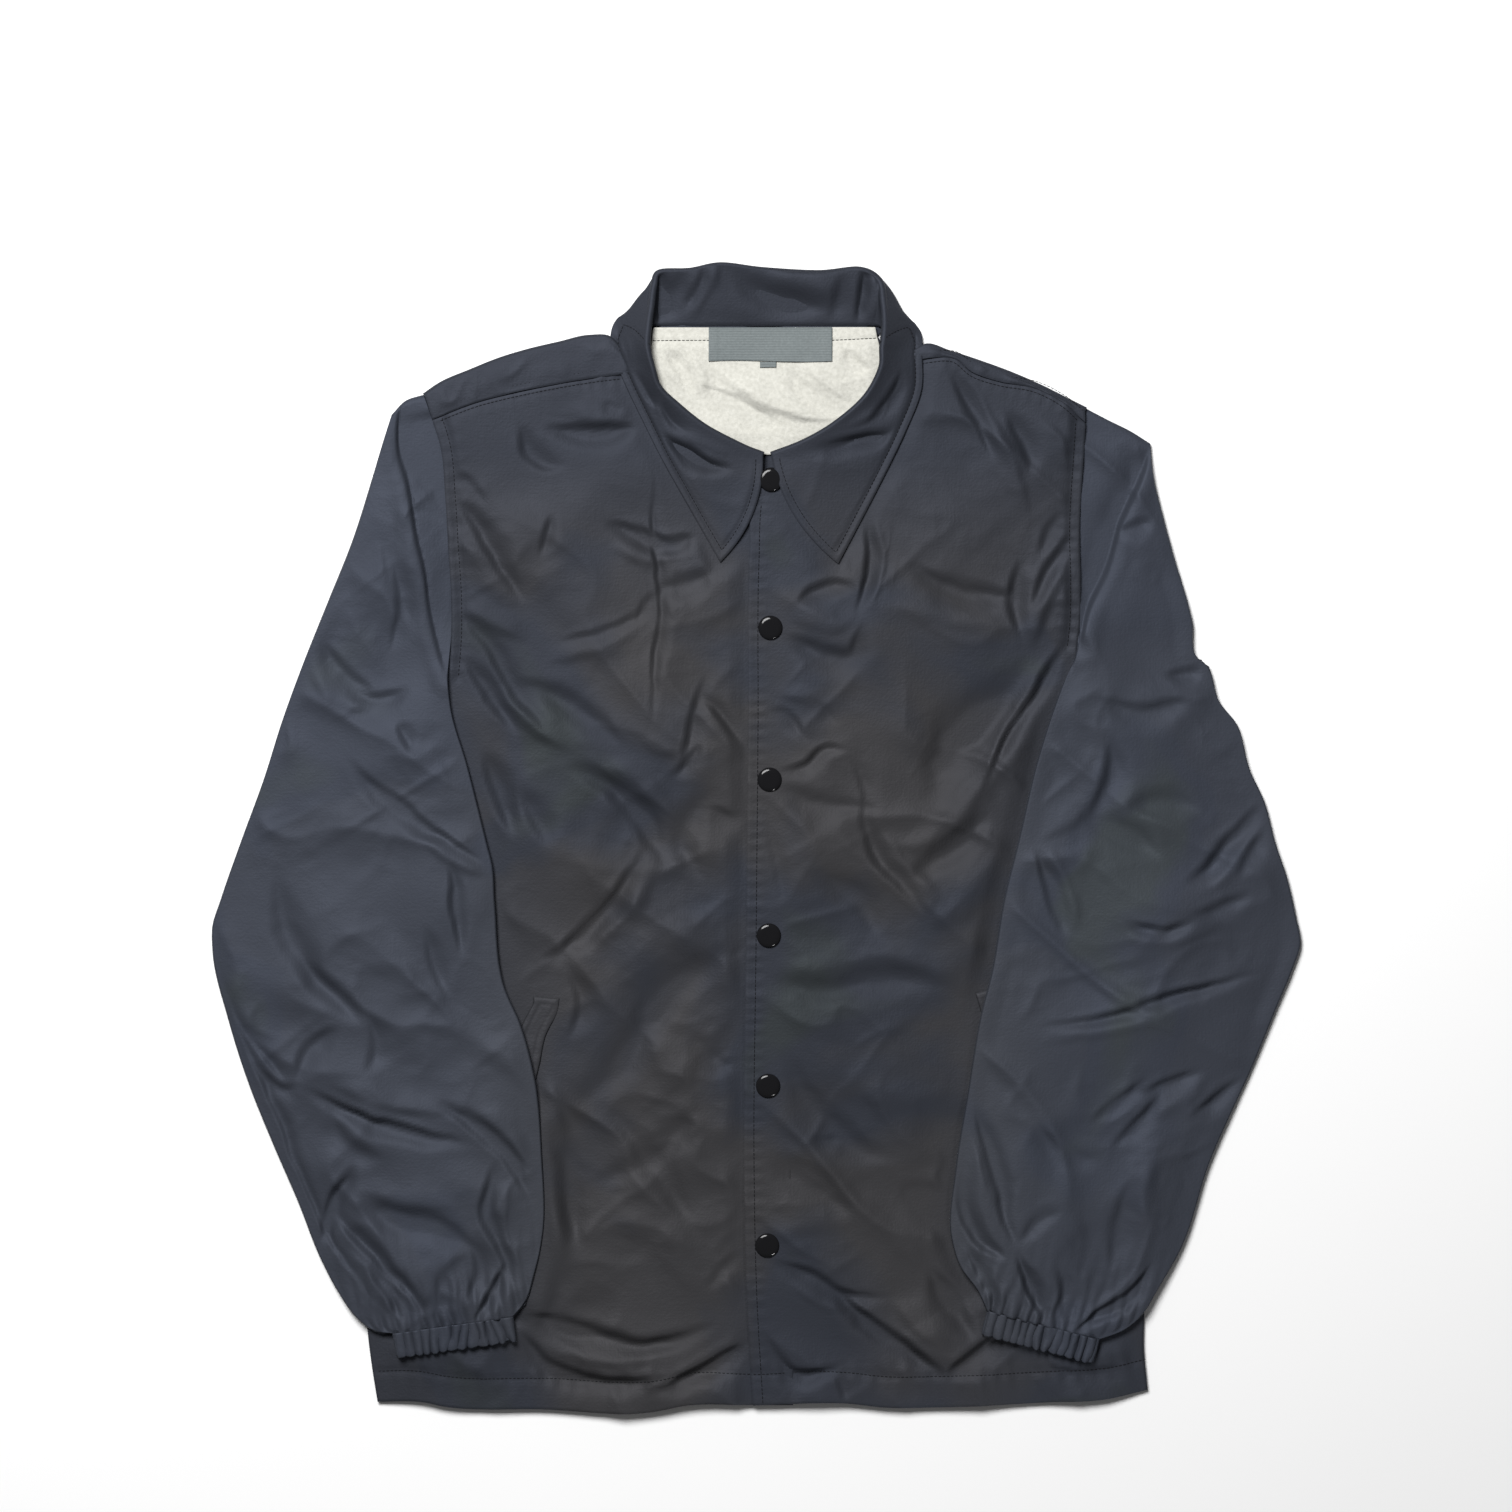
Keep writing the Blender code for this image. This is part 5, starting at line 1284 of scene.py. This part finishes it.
class JACKET_OT_back(bpy.types.Operator):
    """The back: a flat panel whose top rolls over the shoulders and comes forward to a seam"""

    bl_idname = "jacket.back"
    bl_label = "Back"

    def execute(self, context):
        shoulder = 60
        left_top = self.fold_line(LEFT_BACK_SHOULDER, shoulder)
        right_top = self.fold_line(RIGHT_BACK_SHOULDER, shoulder)
        neck = along(
            np.vstack([left_top[-1:], photo(BACK_NECK[1:-1]), right_top[:1]]), shoulder
        )
        top = np.vstack([left_top, neck[1:-1], right_top])
        left = np.vstack([left_top[:1], photo(LEFT_ARMHOLE[1:] + LEFT_UNDERARM + LEFT_SIDE)])
        right = np.vstack([right_top[-1:], photo(RIGHT_ARMHOLE[1:] + RIGHT_UNDERARM + RIGHT_SIDE)])
        low = along(photo(LEFT_HEM[:-2] + RIGHT_HEM[1:]), len(top))
        plan = coons(along(left[::-1], 100), along(right[::-1], 100), low, top)
        hollow = np.clip(0.3 * nylon_texture(plan, 91) + 0.3, 0, 0.9)
        rim = near(plan, np.vstack([left, low[::-1], right[::-1]]))[0]
        main = with_height(plan, WALL + 0.05 + neck_rise(plan) + hollow * smooth(rim / 25))
        main[-1, :, 2] = WALL + 0.05 + neck_rise(plan)[-1]
        seams = [
            along(photo(seam), shoulder) + (0, SEAM_GAP)
            for seam in (LEFT_SHOULDER_SEAM, RIGHT_SHOULDER_SEAM)
        ]
        strips = [
            self.strip(left_top, seams[0], main[-1, :shoulder, 2]),
            self.strip(right_top, seams[1], main[-1, -shoulder:, 2]),
        ]
        made = cloth_shell("jacket_back", [main] + strips, "body")
        hand_over(made, ["back"])
        return {"FINISHED"}

    @staticmethod
    def fold_line(points, count):
        """The shoulder's outline drawn in by the fold's radius, so that the fold meets it."""
        return offset_line(along(photo(points), count), -SHOULDER_FOLD)

    @staticmethod
    def strip(top_edge, seam, floor):
        """Half a turn round the fold, then straight on to the shoulder seam."""
        tangent = np.gradient(top_edge, axis=0)
        tangent /= np.linalg.norm(tangent, axis=1, keepdims=True)
        outward = np.column_stack([-tangent[:, 1], tangent[:, 0]])
        radius = (SHOULDER_HEIGHT - floor) / 2
        rows = []
        for angle in np.radians(np.linspace(-90, 90, 13)):
            plan = top_edge + outward * (radius * math.cos(angle))[:, None]
            rows.append(np.column_stack([plan, floor + radius * (1 + math.sin(angle))]))
        crest = rows[-1].copy()
        for t in np.linspace(0, 1, 14)[1:]:
            plan = (1 - t) * crest[:, :2] + t * seam
            swell = 0.5 * crumple(plan, 16, 77, lean=60, stretch=1.6) * smooth(t * 3)
            rows.append(np.column_stack([plan, crest[:, 2] + 0.5 * math.sin(math.pi * t) + swell]))
        return np.array(rows)


class JACKET_OT_fronts(bpy.types.Operator):
    """The two fronts with their hem bands, creases and puckered seams"""

    bl_idname = "jacket.fronts"
    bl_label = "Fronts"

    def execute(self, context):
        rows, columns = 330, 128
        left = along(photo((LEFT_ARMHOLE[1:] + LEFT_UNDERARM + LEFT_SIDE)[::-1]), rows)
        plan = coons(
            left, along(photo(UNDER_EDGE[::-1]), rows), along(photo(LEFT_HEM), columns),
            along(photo(LEFT_SHOULDER_SEAM + LEFT_NECK[1:]), columns),
        )
        made = cloth_shell("front_under", [with_height(plan, left_front_height(plan))], "body")
        hand_over(made, ["front_right"])
        right = along(photo((RIGHT_ARMHOLE[1:] + RIGHT_UNDERARM + RIGHT_SIDE)[::-1]), rows)
        plan = coons(
            along(photo(FRONT_EDGE[::-1]), rows), right, along(photo(RIGHT_HEM), columns),
            along(photo(RIGHT_NECK + RIGHT_SHOULDER_SEAM[1:]), columns),
        )
        made = cloth_shell("front_over", [with_height(plan, right_front_height(plan))], "body")
        hand_over(
            made, ["front_left"]
        )
        return {"FINISHED"}


class JACKET_OT_sleeves(bpy.types.Operator):
    """The sleeves' top and under panels, folded down over the fronts"""

    bl_idname = "jacket.sleeves"
    bl_label = "Sleeves"

    def execute(self, context):
        for name, sleeve in SLEEVES.items():
            nodes = {panel: f"sleeve_{name}_{panel}" for panel in SLEEVE_PANELS}
            for panel, (rows, columns, lap) in SLEEVE_PANELS.items():
                armhole = photo(sleeve.armhole[:-1]) - (sleeve.side * lap, 0)
                body_side = np.vstack([armhole, photo(sleeve.inner)])
                edges = [along(photo(sleeve.outer)[::-1], rows), along(body_side[::-1], rows)]
                plan = coons(
                    *edges[:: -sleeve.side], along(cuff_line(sleeve), columns),
                    along(photo(sleeve.cap), columns), crowd=0.6,
                )
                if panel == "under":
                    z = sleeve_under_height(plan, nodes[panel], sleeve)
                else:
                    z = sleeve_top_height(plan, nodes, sleeve)
                made = cloth_shell(nodes[panel] + "_cloth", [with_height(plan, z)], "sleeve")
                hand_over(
                    made, [nodes[panel]],
                )
        return {"FINISHED"}


class JACKET_OT_cuffs(bpy.types.Operator):
    """The elastic cuffs: flat tubes whose wall is gathered into uneven waves"""

    bl_idname = "jacket.cuffs"
    bl_label = "Cuffs"

    def execute(self, context):
        for name, sleeve in SLEEVES.items():
            grid = self.tube(*cuff_line(sleeve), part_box(f"cuff_{name}"), sleeve.cuff_seed)
            made = cloth_shell(f"cuff_{name}_cloth", [grid], "sleeve", closed=True)
            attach(made, "root")
            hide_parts(f"cuff_{name}")
        return {"FINISHED"}

    @staticmethod
    def tube(a, b, box, seed):
        """A stadium section run down the cuff's depth; along the section the wall waves in and
        out by an uneven sine, a little different at each depth."""
        across = (b - a) / np.linalg.norm(b - a)
        down = np.array([across[1], -across[0]])
        half_flat = np.linalg.norm(b - a) / 2 - CUFF_HALF_HEIGHT - 1.0
        trip = 4 * half_flat + 2 * math.pi * CUFF_HALF_HEIGHT
        s = np.linspace(0, trip, 360)
        half = np.where(s >= trip / 2, s - trip / 2, s)
        sign = np.where((s >= trip / 2) & (s < trip), -1.0, 1.0)
        half = np.where(s >= trip, 0.0, half)
        turn = math.pi / 2 - np.maximum(half - 2 * half_flat, 0) / CUFF_HALF_HEIGHT
        n = np.stack([np.cos(turn), np.sin(turn)], axis=1)
        centre_x = np.where(half < 2 * half_flat, -half_flat + half, half_flat)
        ring = np.stack([centre_x + CUFF_HALF_HEIGHT * n[:, 0], CUFF_HALF_HEIGHT * n[:, 1]], axis=1)
        ring, n = ring * sign[:, None], n * sign[:, None]
        middle = (a + b) / 2
        z0 = (box[0][2] + box[1][2]) / 2 / MM
        rows = []
        for t in np.linspace(-0.5, CUFF_DEPTH, 17):
            ticks = np.stack([s * np.where(s >= trip, 0, 1), np.full_like(s, 0.5 * t)], axis=1)
            shut = np.sin(np.pi * s / trip) ** 0.3
            bend = (3.6 * noise(ticks, 11.0, seed) + 1.2 * noise(ticks, 4.0, seed + 2)) * shut
            size = np.clip(0.95 + 1.0 * noise(ticks, 7.0, seed + 1), 0.15, 1.8) * shut + 0.2
            crest = 0.5 + 0.5 * np.cos(2 * np.pi * CUFF_WAVES * s / trip + bend)
            wave = size * (2.4 * crest**0.4 - 1.8)
            lip = 0.5 * math.exp(-((t - CUFF_DEPTH) / 1.5) ** 2)
            out = ring + n * (wave - lip)[:, None]
            reach = t + 0.8 * wave[:, None] * max(t, 0) / CUFF_DEPTH
            plan = middle + across * out[:, :1] + down * reach
            rows.append(np.column_stack([plan, z0 + out[:, 1]]))
        return np.array(rows)


class JACKET_OT_collar(bpy.types.Operator):
    """The collar: its stand rises from the neck seam to the roll, and its fall comes down"""

    bl_idname = "jacket.collar"
    bl_label = "Collar"

    def execute(self, context):
        grid = collar_grid()
        made = cloth_shell("collar_cloth", [grid[:, ::-1]], "body", wall=1.2)
        made.modifiers["Wall"].offset = 0.0
        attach(made, "root")
        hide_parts("collar")
        return {"FINISHED"}


def collar_grid():
    """Points of the collar, rows from the neck seam over the roll to the fall's free edge."""
    count = 300
    sections = np.linspace(0, len(COLLAR) - 1, count)
    table = {n: spline(COLLAR[n], sections) for n in COLLAR.dtype.names}
    seam = np.stack([table["seam_x"], table["seam_y"]], axis=1)
    roll = np.stack([table["roll_x"], table["roll_y"], table["roll_z"]], axis=1)
    edge = np.stack([table["edge_x"], table["edge_y"]], axis=1)
    turn = np.radians(np.clip(table["turn"], 0, 180))
    under = np.clip(table["under"], 0, 1)[:, None]
    tangent = np.gradient(roll[:, :2], axis=0)
    tangent /= np.linalg.norm(tangent, axis=1, keepdims=True)
    inward = np.column_stack([tangent[:, 1], -tangent[:, 0], np.zeros(count)])
    up = np.array([0.0, 0.0, 1.0])
    tip = np.cos(turn)[:, None] * inward + np.sin(turn)[:, None] * up
    over = np.cos(turn)[:, None] * up - np.sin(turn)[:, None] * inward
    centre = roll - ROLL_RADIUS * tip
    # The seam lies high on the fronts and low behind the neck, with a soft step between
    seam_z = np.where(turn > math.radians(70), 2.4, 5.0)
    seam_z = np.convolve(np.pad(seam_z, 12, mode="edge"), np.ones(25) / 25, mode="valid")
    start = np.column_stack([seam, seam_z])
    end = centre - ROLL_RADIUS * over
    rows = [start + (end - start) * t for t in np.linspace(0, 1, STAND_ROWS)[:-1]]
    for angle in np.radians(np.linspace(-90, 90, ROLL_ROWS)):
        rows.append(centre + ROLL_RADIUS * (math.cos(angle) * tip + math.sin(angle) * over))
    joint = rows[-1]
    along_roll = np.column_stack([tangent, np.zeros(count)])
    leaf = []
    for t in np.linspace(0, 1, LEAF_ROWS + 1)[1:]:
        middle = 4 * t * (1 - t)
        plan = (1 - t) * joint[:, :2] + t * edge
        plan = plan - table["bulge"][:, None] * middle * inward[:, :2]
        plan = plan - table["bow"][:, None] * middle * along_roll[:, :2]
        under_it = Solids.broad_top(["front_right", "front_left", "back", "snap_1"], plan)
        low = (1 - under[:, 0]) * (under_it + 1.0) + under[:, 0] * 0.65
        z = low + (joint[:, 2] - low) * (1 - t) ** 1.6
        leaf.append(np.column_stack([plan, z]))
    leaf = np.array(leaf)
    lying = smooth((0.3 - under[:, 0]) / 0.3) * smooth(np.linspace(0, 1, LEAF_ROWS)[:, None] * 3)
    rim = near(leaf[..., :2], np.vstack([leaf[:, 0, :2], edge, leaf[::-1, -1, :2]]))[0]
    away = smooth((rim - 6) / 6)
    leaf[..., 2] += lying * away * (
        creases(leaf[..., :2], COLLAR_CREASES) + 0.25 * crumple(leaf[..., :2], 34, 211, 60, 1.8)
    )
    leaf[..., 2] -= lying * 0.9 * np.exp(-(((rim - COLLAR_STITCH) / 1.3) ** 2))
    stand = np.array(rows[:STAND_ROWS])
    shown = smooth((under[:, 0] - 0.6) / 0.4) * smooth(np.linspace(0, 1, STAND_ROWS)[:, None] * 4)
    stand[..., 2] += shown * (
        creases(stand[..., :2], STAND_CREASES) + 0.6 * noise(stand[..., :2], 18, 223)
    )
    return np.concatenate([stand, np.array(rows[STAND_ROWS:]), leaf])


class JACKET_OT_neck(bpy.types.Operator):
    """The flannel lining inside the neck, with the bare label and size tab on it"""

    bl_idname = "jacket.neck"
    bl_label = "Neck lining and label"

    def execute(self, context):
        plan = coons(
            along(LINING_LEFT[::-1], 84), along(LINING_RIGHT[::-1], 84), along(LINING_LOW, 110),
            along(LINING_TOP, 110),
        )
        grid = with_height(plan, lining_height(plan))
        made = cloth_shell("neck_lining", [grid], "flannel", wall=0.8)
        hand_over(made, ["back_lining"])
        for node, wave, columns, flat in (
            ("label", 0.5, 90, (0.081, 0.024)),
            ("size_tab", 0.1, 20, (0.0105, 0.0101)),
        ):
            lo, hi = (np.array(c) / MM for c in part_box(node))
            x = np.linspace(lo[0], hi[0], columns)
            y = np.linspace(lo[1], hi[1], 30)
            plan = np.dstack(np.meshgrid(x, y))
            low_edge = smooth((hi[1] - plan[..., 1]) / (hi[1] - lo[1]))
            plan[..., 1] += wave * np.sin((plan[..., 0] - lo[0]) / 13.0) * low_edge
            ends = np.minimum(plan[..., 0] - lo[0], hi[0] - plan[..., 0])
            lift = 0.25 * smooth(1 - (ends - 5) / 1.5) + 0.3 * np.sin(plan[..., 0] / 11.0) * low_edge
            z = lining_height(plan, 0.0) + 1.1 + lift * (node == "label")
            made = cloth_shell(node + "_tape", [with_height(plan, z)], "label", wall=0.6)
            hand_over(made, [node])
        return {"FINISHED"}


def lining_height(plan, stitch=0.5):
    """The lining: its solid, with soft folds that run down from the neck seam and a groove of
    that depth under its stitch line."""
    soft = 0.9 + 1.1 * noise(plan, 26, 317) + 1.5 * creases(plan, LINING_CREASES)
    seam = near(plan, photo(LINING_STITCH))[0]
    groove = stitch * np.exp(-((seam / 1.2) ** 2))
    fade = smooth((329 - plan[..., 1]) / 14)
    rim = near(plan, np.vstack([LINING_LEFT, LINING_LOW, LINING_RIGHT[::-1]]))[0]
    z = Solids.top("back_lining", plan) + fade * smooth(rim / 8) * soft - groove
    return np.maximum(z, Solids.top("back_lining", plan) - 0.5)


class JACKET_OT_welts(bpy.types.Operator):
    """The slanted pocket welts, which come out from under the sleeves"""

    bl_idname = "jacket.welts"
    bl_label = "Pocket welts"

    def execute(self, context):
        for name, line, side in (("right", LEFT_WELT, -1), ("left", RIGHT_WELT, 1)):
            inner = along(photo(line), 90)
            outer = offset_line(inner, side * WELT_WIDTH)
            s = np.linspace(0, 1, 24)[None, :, None]
            plan = (1 - s) * inner[:, None] + s * outer[:, None]
            if side < 0:
                plan = plan[:, ::-1]
            plan = plan[::-1]
            base = Solids.top("front_right" if side < 0 else "front_left", plan)
            rim = np.minimum(near(plan, inner)[0], near(plan, outer)[0])
            top = near(plan, np.array([inner[0], outer[0]]))[0]
            rim = np.minimum(rim, top)
            z = base + 1.2 + 0.7 * round_off(rim, 2.5) - 0.3 * np.exp(-(((rim - 4.5) / 1.1) ** 2))
            z = z + 0.2 * crumple(plan, 18, 401)
            made = cloth_shell(f"pocket_welt_{name}_cloth", [with_height(plan, z)], "body")
            hand_over(
                made, [f"pocket_welt_{name}"],
            )
        return {"FINISHED"}


class JACKET_OT_snaps(bpy.types.Operator):
    """The snaps' glossy caps, low domes with a rolled rim"""

    bl_idname = "jacket.snaps"
    bl_label = "Snaps"

    def execute(self, context):
        radius = context.scene.jacket.snap_radius / MM
        fall = np.linspace(0, 1, 12)[1:]
        flank = np.column_stack([0.58 + 0.42 * fall, 0.75 + 1.5 * np.sqrt(1 - fall**2)])
        # Shares of the cap's radius, and heights in mm, from beside the crown to the underside
        profile = np.vstack(
            [(0.2, 2.295), (0.4, 2.28), (0.5, 2.265), (0.58, 2.25), flank, (0.985, 0.45),
             (0.95, 0.2), (0.80, 0.05)]
        )
        crown, lift = 2.40, 0.1
        sides, rings = 48, len(profile)
        angle = np.arange(sides) / sides * 2 * np.pi
        i = np.arange(sides)
        j = (i + 1) % sides
        quads = [
            np.stack([r * sides + i, (r + 1) * sides + i, (r + 1) * sides + j, r * sides + j], axis=1)
            for r in range(rings - 1)
        ]
        last = (rings - 1) * sides
        tip, foot = np.full(sides, rings * sides), np.full(sides, rings * sides + 1)
        faces = np.vstack(quads).tolist()
        faces += np.stack([i, j, tip], axis=1).tolist()
        faces += np.stack([last + j, last + i, foot], axis=1).tolist()
        for k in range(1, SNAPS + 1):
            lo, hi = (np.array(c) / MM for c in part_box(f"snap_{k}"))
            centre = (lo + hi) / 2
            x = centre[0] + radius * profile[:, :1] * np.cos(angle)
            y = centre[1] + radius * profile[:, :1] * np.sin(angle)
            z = np.broadcast_to(lo[2] + lift + profile[:, 1:], x.shape)
            points = np.stack([x, y, z], axis=-1).reshape(-1, 3)
            ends = [(centre[0], centre[1], lo[2] + height) for height in (crown, lift)]
            made = mesh_object(f"snap_cap_{k}", np.vstack([points, ends]), faces, "snap")
            hand_over(made, [f"snap_{k}"])
        return {"FINISHED"}


class JACKET_OT_stitching(bpy.types.Operator):
    """All visible stitches: rows of short threads half sunk in the cloth"""

    bl_idname = "jacket.stitching"
    bl_label = "Stitching"

    def execute(self, context):
        seams = front_seams()
        rows = {
            "hem_right": (part_of(seams["hem_right"], 0.0, 0.9), left_front_height),
            "hem_left": (seams["hem_left"], right_front_height),
            "front_edge": (part_of(seams["edge"], 0.03, 1.0), right_front_height),
            "armhole_right": (seams["armhole_right"], left_front_height),
            "armhole_left": (seams["armhole_left"], right_front_height),
        }
        for name, (line, height) in rows.items():
            path = along(line, 400)
            self.sew(f"stitches_{name}", np.column_stack([path, height(path[:, None])[:, 0]]))
        for name, path in zip(("right", "left"), self.collar_rows()):
            self.sew(f"stitches_collar_{name}", path)
        lining = along(photo(LINING_STITCH), 120)
        height = lining_height(lining[:, None])[:, 0] + 0.1
        self.sew("stitches_lining", np.column_stack([lining, height]))
        for name, seam, front in (
            ("right", LEFT_SHOULDER_SEAM, left_front_height),
            ("left", RIGHT_SHOULDER_SEAM, right_front_height),
        ):
            for k, shift in enumerate(SHOULDER_STITCHES):
                path = along(offset_line(along(photo(seam), 60), shift)[2:-2], 200)
                height = np.full(len(path), SHOULDER_HEIGHT + 0.55)
                if k == 0:
                    height = front(path[:, None])[:, 0]
                self.sew(f"stitches_shoulder_{name}_{k}", np.column_stack([path, height]))
        return {"FINISHED"}

    @staticmethod
    def collar_rows():
        """The stitch lines of the collar's two leaves: their rim, moved inwards, less the loops
        that this makes at the points, at the height of the nearest points of the cloth."""
        leaf = collar_grid()[-LEAF_ROWS:]
        rim = np.vstack([leaf[:-1, 0], leaf[-1], leaf[-2::-1, -1]])[:, :2]
        path = offset_line(along(rim, 900), -COLLAR_STITCH)
        path = path[near(path, rim)[0] > COLLAR_STITCH - 0.2]
        cloth = leaf.reshape(-1, 3).astype(np.float32)
        apart = ((path[:, None].astype(np.float32) - cloth[None, :, :2]) ** 2).sum(axis=-1)
        path = np.column_stack([path, cloth[apart.argmin(axis=1), 2] + 0.65])
        path = path[path[:, 2] > 4.0]
        return path[path[:, 0] < MIDDLE_X], path[path[:, 0] >= MIDDLE_X]

    def sew(self, name, path):
        """A row of stitches along a path: each is a thread that dips into the cloth at both
        ends, a ring of five points swept along a low arch."""
        settings = bpy.context.scene.jacket
        pitch, radius = settings.stitch / MM, settings.thread / MM / 2
        length = length_of(path)
        count = int(length / pitch)
        run = np.concatenate([[0], np.cumsum(np.linalg.norm(np.diff(path, axis=0), axis=1))])
        half, rings, sides = 0.42, 5, 5
        t = np.linspace(-half, half, rings)
        at = ((np.arange(count) + 0.5)[:, None] + t[None]) * pitch
        middle = np.stack([np.interp(at, run, path[:, k]) for k in range(3)], axis=-1)
        middle[..., 2] += (0.30 - 0.434 * (t / half) ** 2)[None]
        ahead = np.gradient(middle, axis=1)
        ahead /= np.linalg.norm(ahead, axis=-1, keepdims=True)
        side = np.cross(ahead, (0, 0, 1.0))
        side /= np.linalg.norm(side, axis=-1, keepdims=True)
        lift = np.cross(side, ahead)
        angle = (np.arange(sides) / sides * 2 * np.pi)[:, None]
        thin = radius * np.sqrt(np.maximum(1 - (t / 0.5) ** 2, 0.1))
        outward = side[:, :, None] * np.cos(angle) + lift[:, :, None] * np.sin(angle)
        points = middle[:, :, None] + thin[None, :, None, None] * outward
        i = np.arange(sides)
        j = (i + 1) % sides
        one = np.vstack(
            [
                np.stack([r * sides + i, r * sides + j, (r + 1) * sides + j, (r + 1) * sides + i], axis=1)
                for r in range(rings - 1)
            ]
        )
        first = np.arange(count)[:, None] * rings * sides
        faces = (first[..., None] + one[None]).reshape(-1, 4).tolist()
        faces += (first + i[::-1][None]).tolist()
        faces += (first + (rings - 1) * sides + i[None]).tolist()
        # The thread finish is near black, painted shade of the needle holes along the seam
        made = mesh_object(name, points.reshape(-1, 3), faces, "thread")
        hand_over(made, [])


class JACKET_OT_stage(bpy.types.Operator):
    """White paper, a large soft light overhead, a small one at the foot, and the camera"""

    bl_idname = "jacket.stage"
    bl_label = "Studio"

    def execute(self, context):
        settings = context.scene.jacket_stage
        x = np.linspace(-PAPER_HALF, PAPER_HALF, 3)
        sheet = with_height(np.dstack(np.meshgrid(x, x)), -0.05).reshape(-1, 3)
        mesh_object("studio_paper", sheet, grid_faces(3, 3).tolist(), "paper")
        centre = np.append(photo([(PHOTO_PIXELS / 2, PHOTO_PIXELS / 2)])[0], 0.0) * MM
        camera = bpy.data.cameras.new("camera")
        seen = PHOTO_PIXELS * PHOTO_SCALE * MM
        camera.lens = camera.sensor_width * settings.camera_height / seen
        holder = bpy.data.objects.new("camera", camera)
        holder.location = (centre[0], centre[1], settings.camera_height)
        context.scene.collection.objects.link(holder)
        context.scene.camera = holder
        self.light("key", KEY_PLACE, centre, KEY_SIZE, settings.key_power)
        glint = self.light("glint", GLINT_PLACE, centre, GLINT_SIZE, settings.glint_power)
        glint.visible_diffuse = False
        world = bpy.data.worlds.new("studio")
        world.use_nodes = True
        background = world.node_tree.nodes["Background"]
        background.inputs["Color"].default_value = linear("#ffffff")
        background.inputs["Strength"].default_value = settings.even_light
        context.scene.world = world
        context.scene.view_settings.view_transform = "Standard"
        return {"FINISHED"}

    @staticmethod
    def light(name, place, target, size, power):
        """A round lamp at a place, turned so that it shines at the target."""
        lamp = bpy.data.lights.new(name, "AREA")
        lamp.shape = "DISK"
        lamp.size = size
        lamp.energy = power
        holder = bpy.data.objects.new(name, lamp)
        holder.location = place
        aim = np.array(target) - np.array(place)
        tilt = math.atan2(math.hypot(aim[0], aim[1]), -aim[2])
        holder.rotation_euler = (tilt, 0.0, math.atan2(aim[1], aim[0]) - math.pi / 2)
        bpy.context.scene.collection.objects.link(holder)
        return holder


OPERATORS = (
    JACKET_OT_back, JACKET_OT_fronts, JACKET_OT_neck, JACKET_OT_welts, JACKET_OT_snaps,
    JACKET_OT_collar, JACKET_OT_sleeves, JACKET_OT_cuffs, JACKET_OT_stitching, JACKET_OT_stage,
)


class JACKET_PT_panel(bpy.types.Panel):
    """Lists the pieces of the jacket"""

    bl_label = "Coach Jacket"
    bl_idname = "JACKET_PT_panel"
    bl_space_type = "VIEW_3D"
    bl_region_type = "UI"
    bl_category = "Jacket"

    def draw(self, context):
        for settings in (context.scene.jacket, context.scene.jacket_stage):
            for name in settings.__annotations__:
                self.layout.prop(settings, name)
        for operator in OPERATORS:
            self.layout.operator(operator.bl_idname)


CLASSES = (JacketSettings, StageSettings, *OPERATORS, JACKET_PT_panel)


def register():
    for cls in CLASSES:
        bpy.utils.register_class(cls)
    bpy.types.Scene.jacket = bpy.props.PointerProperty(type=JacketSettings)
    bpy.types.Scene.jacket_stage = bpy.props.PointerProperty(type=StageSettings)


def unregister():
    del bpy.types.Scene.jacket_stage
    del bpy.types.Scene.jacket
    for cls in reversed(CLASSES):
        bpy.utils.unregister_class(cls)


def main():
    """Makes every piece in order."""
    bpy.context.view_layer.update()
    register()
    for operator in OPERATORS:
        group, name = operator.bl_idname.split(".")
        getattr(getattr(bpy.ops, group), name)()
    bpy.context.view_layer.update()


if __name__ == "__main__":
    main()
